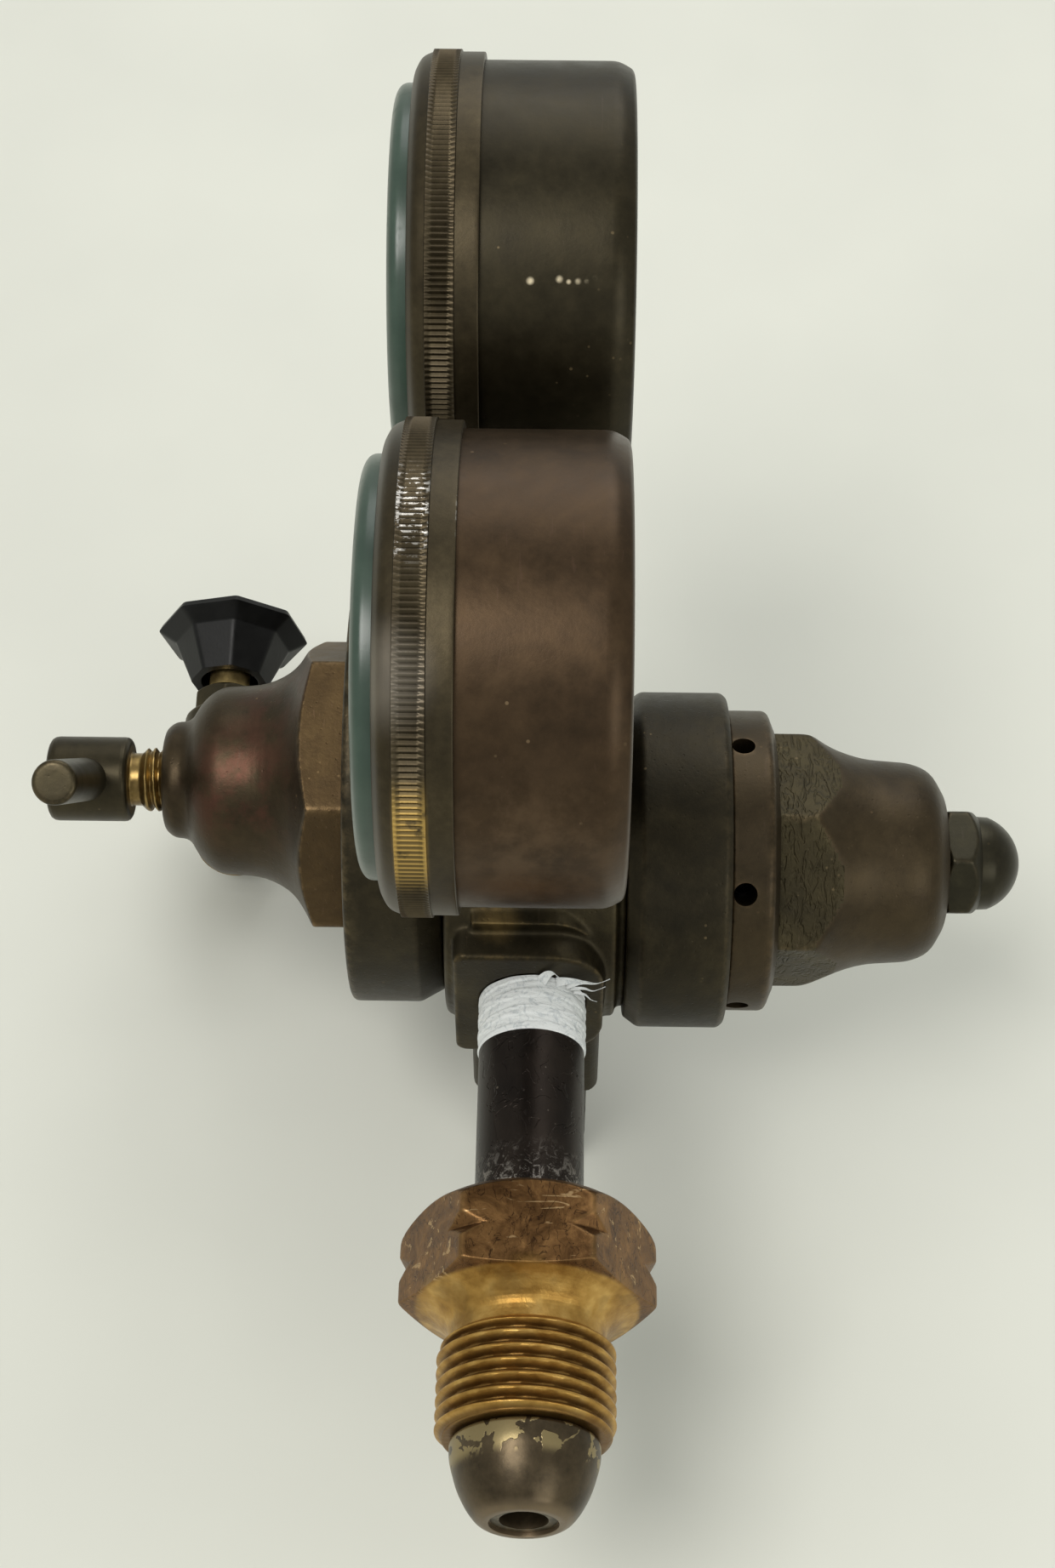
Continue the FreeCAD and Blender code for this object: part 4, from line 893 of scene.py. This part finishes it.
WISPS = [
    (1.3, [(31.0, 3.2, 6.6), (30.9, 4.9, 6.8), (31.1, 6.4, 7.2), (31.6, 7.9, 7.4)]),
    (0.8, [(31.2, 4.6, 5.9), (31.0, 6.6, 6.6), (31.4, 8.6, 7.0), (31.0, 10.4, 7.6)]),
    (0.5, [(31.3, 5.2, 5.5), (31.5, 6.9, 5.9), (32.0, 8.2, 6.1), (31.8, 9.8, 6.9)]),
    (1.6, [(31.2, 1.2, 7.2), (30.8, 2.0, 8.2), (31.0, 2.8, 8.9), (31.6, 3.6, 8.6)]),
    (0.4, [(31.6, 5.6, 5.0), (32.0, 7.0, 5.2), (32.6, 7.9, 4.8), (33.0, 8.7, 5.0)]),
]
for index, (width, points) in enumerate(WISPS):
    shifted = [(x + body_x, y, z) for x, y, z in points]
    ribbon(f"tape_wisp_{index + 1}", shifted, width, "regulator", tape_skin, "ptfe_tape")


# ---------------------------------------------------------------- relief valve
relief_body = spun("relief_body_turned", RELIEF, rounded(
    (29.0, 5.6), (29.0, 7.6, 0.3), (47.4, 7.6, 0.2), (48.0, 7.0, 0.1), (48.0, 5.6), step=1.0),
    segments=120, closed=True)
dress(mark_wear(relief_body, 1, 1.2), ring_skin, "regulator", "dark_bronze", "relief_body")


def cap_grip(along, radius, theta):
    grip = 0.12 * (0.5 + 0.5 * np.cos(48 * theta))
    return np.where((along > 49.2) & (along < 55.5) & (radius > 7.2), radius - grip, radius)


relief_cap = spun("relief_cap_turned", RELIEF, rounded(
    (54.0, 0.0), (48.0, 0.01), (48.0, 7.0, 0.1), (48.6, 7.6, 0.2), (56.1, 7.6, 0.4), (57.0, 6.8, 0.3),
    (57.0, 2.0, 0.2),
    (54.5, 2.0), (54.5, 0.0), step=0.5), cap_grip, segments=240)
dress(mark_wear(relief_cap, 1, 1.2), ring_skin, "regulator", "dark_bronze", "relief_cap")


# ---------------------------------------------------------------- outlet valve
KNOB_STATIONS = (15.4, 22.2, 24.0, 25.0)
KNOB_FLATS = (11.5, 17.0, 22.2, 21.4)
KNOB_SKIN_R = (6.2, 9.2, 12.0, 11.6)
KNOB_SIDES, KNOB_CORNER = 8, 8.0
KNOB_NUT_AF, GLAND_AF, HOSE_AF = 5.4, 9.525, 15.0


def knob_shape(along, radius, theta):
    flats = np.interp(along, KNOB_STATIONS, KNOB_FLATS)
    outer = polygon_radius(theta, flats, KNOB_CORNER, KNOB_SIDES, blend=0.4)
    return np.where(radius > 0.9 * np.interp(along, KNOB_STATIONS, KNOB_SKIN_R), outer, radius)


knob = spun("valve_knob_moulded", VALVE, rounded(
    (18.0, 1.95), (18.0, 4.0), (22.5, 4.0, 0.3), (22.5, 7.0), (15.5, 4.5, 0.2), (15.4, 6.1, 0.2),
    (22.2, 9.2, 0.5),
    (24.0, 12.0, 0.5), (25.0, 11.6, 0.4), (25.0, 3.6, 0.2), (23.8, 3.6), (23.8, 1.95), step=0.5),
    knob_shape, segments=240, closed=True)
dress(mark_wear(knob, 1, 1.0), knob_skin, "valve_spindle", "knob_plastic", "valve_knob")


def hexed_piece(across_flats, blend):
    """Shape of a small hexagon with rounded corners round a plain bore."""
    def shape(along, radius, theta):
        prism = polygon_radius(theta, across_flats, 0.0, blend=blend)
        return np.where(radius > across_flats * 0.36, soft_min(radius, prism, blend), radius)
    return shape


knob_nut = spun("knob_nut_turned", VALVE, rounded(
    (23.8, 1.95), (23.8, 3.1), (25.7, 3.1, 0.2), (26.0, 2.7, 0.1), (26.0, 1.95), step=0.4),
    hexed_piece(KNOB_NUT_AF, 0.1), segments=96, closed=True)
dress(mark_wear(knob_nut), thread_skin, "valve_spindle", "worked_brass", "knob_nut")

gland = spun("valve_gland_turned", VALVE, rounded(
    (9.0, 2.6), (9.0, 5.5, 0.2), (12.3, 5.5, 0.3), (13.0, 4.8, 0.2), (13.0, 2.6), step=0.4),
    hexed_piece(GLAND_AF, 0.2), segments=180, closed=True)
dress(mark_wear(gland), handle_skin, "regulator", "worked_brass", "valve_gland")

HOSE_PITCH = INCH / 18


def hose_shape(along, radius, theta):
    hexed = soft_min(radius, polygon_radius(theta, HOSE_AF, 0.0, blend=0.3), 0.2)
    cut = thread_depth(along, theta, HOSE_PITCH, 13.8, 25.3, 0.78, hand=-1, fade=0.6)
    reach = np.where((along < 13.55) & (radius > 5), hexed, radius)
    return np.where((along > 13.6) & (radius > 5.6), radius - cut, reach)


hose_nipple = spun("outlet_nipple_turned", HOSE, rounded(
    (11.0, 1.8), (11.0, 8.6, 0.3), (13.5, 8.6, 0.3), (13.5, 6.3), (14.3, 7.14, 0.2), (24.8, 7.14, 0.2),
    (25.5, 6.2, 0.2),
    (25.5, 5.5, 0.1), (22.5, 2.5), (22.4, 1.8), step=0.12), hose_shape, segments=144, closed=True)
dress(mark_wear(hose_nipple), thread_skin, "regulator", "worked_brass", "outlet_nipple")


# ---------------------------------------------------------------- gauges
CASE_R = 26.75
BEZEL_R = 28.0
KNURLS = 240
KNURL_DEPTH = 0.26
DIAL_FACE, INK_THICKNESS = 9.2, 0.05
DIAL_ZERO, DIAL_FULL = 225, -45


def knurled(along, radius, theta):
    tooth = np.abs(np.mod(theta * KNURLS / (2 * math.pi), 1.0) - 0.5) * 2
    return np.where((along > 10.9) & (along < 14.2) & (radius > 27.85), radius - KNURL_DEPTH * (1 - tooth),
        radius)


def dial_marks(name, place, body, labels):
    """Printed graduations and plain numbers, as thin raised marks on the dial."""
    vertices, faces = [], []
    top = DIAL_FACE + INK_THICKNESS

    def bar_mark(angle, inner, outer, width):
        out = np.array([math.cos(angle), math.sin(angle), 0])
        side = np.array([-out[1], out[0], 0]) * width / 2
        base = len(vertices)
        for height in (DIAL_FACE, top):
            for point in (out * inner - side, out * inner + side, out * outer + side, out * outer - side):
                vertices.append(point + np.array([0, 0, height]))
        faces.extend([[base + k for k in quad] for quad in (
            (3, 2, 1, 0), (4, 5, 6, 7), (0, 1, 5, 4), (1, 2, 6, 5), (2, 3, 7, 6), (3, 0, 4, 7))])

    steps = 10 * (len(labels) - 1)
    for step in range(steps + 1):
        angle = math.radians(DIAL_ZERO + (DIAL_FULL - DIAL_ZERO) * step / steps)
        major, half = step % 10 == 0, step % 5 == 0
        bar_mark(angle, 17.6 if major else (18.6 if half else 19.4), 20.8, 0.55 if major else 0.25)
    matrix = np.array(place)
    points = np.array(vertices) @ matrix[:3, :3].T + matrix[:3, 3]
    marks = finish_mesh(name + "_marks", points.tolist(), faces, 20)
    dress(marks, ink_skin, body, "pointer_black")
    for index, label in enumerate(labels):
        angle = math.radians(DIAL_ZERO + (DIAL_FULL - DIAL_ZERO) * index / (len(labels) - 1))
        curve = bpy.data.curves.new(name + "_number", "FONT")
        curve.body, curve.size, curve.align_x, curve.align_y = label, 3.6, "CENTER", "CENTER"
        curve.extrude = 0.02
        text = bpy.data.objects.new(f"{name}_number_{index + 1}", curve)
        bpy.context.scene.collection.objects.link(text)
        spot = Vector((14.6 * math.cos(angle), 14.6 * math.sin(angle), top))
        text.matrix_world = place @ Matrix.Translation(spot)
        bpy.context.view_layer.update()
        mesh = bpy.data.meshes.new_from_object(text.evaluated_get(bpy.context.evaluated_depsgraph_get()))
        mesh.transform(text.matrix_world)
        bpy.data.objects.remove(text)
        number = bpy.data.objects.new(f"{name}_number_{index + 1}", mesh)
        bpy.context.scene.collection.objects.link(number)
        dress(number, ink_skin, body, "pointer_black")


def make_gauge(name, labels, case_skin):
    pivot = joint_point(name + "_pointer_turn")
    foot = joint_point(name + "_sector_turn")
    up = (pivot - foot).normalized()
    right = Vector((up.z, 0, -up.x))
    dial_place = axis_frame(pivot, (0, -1, 0), right)

    case = spun(name + "_case_spun", dial_place, rounded(
        (-10.6, 0.0), (-10.6, 25.0, 0.5), (-10.35, CASE_R - 1.0, 1.0), (-8.6, CASE_R, 1.4), (11.9, CASE_R),
        (11.9, 25.75),
        (-9.4, 25.75), (-9.4, 0.0), step=1.2), segments=240)
    dress(mark_wear(case, 2, 1.2), case_skin, "regulator", "gauge_bronze", name + "_case")

    bezel = spun(name + "_bezel_knurled", dial_place, rounded(
        (7.9, 26.76), (7.9, 27.7, 0.2), (10.75, 27.7), (10.85, BEZEL_R), (14.25, BEZEL_R), (14.35, 27.65),
        (15.7, 27.1, 0.8),
        (16.6, 25.4, 0.6), (16.6, 24.0, 0.3), (13.6, 24.0), (13.6, 26.76), step=0.45), knurled,
        segments=KNURLS * 4, closed=True)
    dress(mark_wear(bezel, 0.5, 0.8), knurl_skin, "regulator", "gauge_bronze", name + "_bezel")

    lens = spun(name + "_lens_moulded", dial_place, rounded(
        (12.0, 26.7), (13.6, 26.7), (13.6, 23.9), (18.2, 23.9, 0.9), (19.0, 22.6, 1.5), (19.55, 10.0, 4.0),
        (19.6, 0.0),
        step=1.2), segments=160)
    inner = spun(name + "_lens_inside", dial_place, rounded(
        (12.0, 26.7), (12.0, 22.0), (16.8, 22.0, 0.6), (16.8, 0.0), step=1.5), segments=160)
    lens = join_meshes(name + "_lens_moulded", lens, inner)
    dress(lens, lens_material(name + "_lens_skin", pivot), "regulator", "gauge_lens", name + "_lens")

    socket = softened(name + "_socket_milled", 0.25, 2, name + "_socket")
    dress(mark_wear(socket), case_skin, "regulator", "gauge_bronze", name + "_socket")
    dial_marks(name + "_dial", dial_place, "regulator", labels)


make_gauge("inlet_gauge", ["0", "1000", "2000", "3000", "4000"], near_skin)
make_gauge("delivery_gauge", ["0", "5", "10", "15", "20", "25", "30"], far_skin)


# ---------------------------------------------------------------- CAD nodes that stay, with materials
KEPT = {
    "movement_brass": movement_skin, "worked_brass": worked_skin, "spring_steel": spring_skin,
    "diaphragm_rubber": rubber_skin, "dial_enamel": dial_skin, "pointer_black": needle_skin,
    "gauge_bronze": near_skin, "dark_bronze": body_skin,
}
slot_of = {part["node"]: part["material_slot"] for part in frame["record"]["subparts"]}
for node_name, node in NODES.items():
    if not node.hide_render:
        node.data.materials.clear()
        node.data.materials.append(KEPT[slot_of[node_name]])


# ---------------------------------------------------------------- floor, light and camera
lowest = cad_box[0][2]
bpy.ops.mesh.primitive_plane_add(size=6.0, location=(0, 0, lowest - 0.0002))
floor = bpy.context.object
floor.name = "floor"
floor_paint = Surface("floor_paint")
floor_tone = floor_paint.noise(60, 3, 0.5)
floor_paint.set(Base_Color=floor_paint.ramp(floor_tone, (0.3, (0.645, 0.650, 0.595)),
    (0.7, (0.680, 0.685, 0.625))),
                Roughness=0.8)
floor.data.materials.append(floor_paint.material)


def soft_light(name, place, target, size, power, tint=(1, 1, 1)):
    light = bpy.data.lights.new(name, "AREA")
    light.shape, light.size, light.energy, light.color = "DISK", size, power, tint
    lamp = bpy.data.objects.new(name, light)
    bpy.context.scene.collection.objects.link(lamp)
    lamp.location = place
    lamp.rotation_euler = (Vector(target) - Vector(place)).to_track_quat("-Z", "Y").to_euler()


middle = Vector((body_x * MM, 0, 0.02))
soft_light("key", (0.25, -0.30, 0.95), middle, 0.45, 5.5, (1.0, 0.98, 0.94))
soft_light("fill", (0.75, 0.65, 0.55), middle, 0.7, 2.6, (0.99, 1.0, 0.96))
soft_light("back", (-0.85, 0.15, 0.75), middle, 0.8, 3.5)

world = bpy.data.worlds.new("studio")
bpy.context.scene.world = world
world.use_nodes = True
world.node_tree.nodes["Background"].inputs["Color"].default_value = (0.98, 1.0, 0.94, 1)
world.node_tree.nodes["Background"].inputs["Strength"].default_value = 0.56

CAMERA_PLACE = Vector((0.12577, 0.00214, 0.30510))
CAMERA_ELEVATION = math.radians(54.3)
CAMERA_SWING = math.radians(0.88)
CAMERA_LENS = 59.58
looking = Vector((-math.cos(CAMERA_ELEVATION) * math.cos(CAMERA_SWING),
                  -math.cos(CAMERA_ELEVATION) * math.sin(CAMERA_SWING), -math.sin(CAMERA_ELEVATION)))
side = Vector((-math.sin(CAMERA_SWING), math.cos(CAMERA_SWING), 0))
above = side.cross(looking)
camera_data = bpy.data.cameras.new("camera")
camera_data.lens = CAMERA_LENS
camera_data.clip_start = 0.01
camera = bpy.data.objects.new("camera", camera_data)
bpy.context.scene.collection.objects.link(camera)
facing = Matrix((side, above, -looking)).transposed().to_4x4()
facing.translation = CAMERA_PLACE
camera.matrix_world = facing
bpy.context.scene.camera = camera
bpy.context.scene.view_settings.view_transform = "Standard"
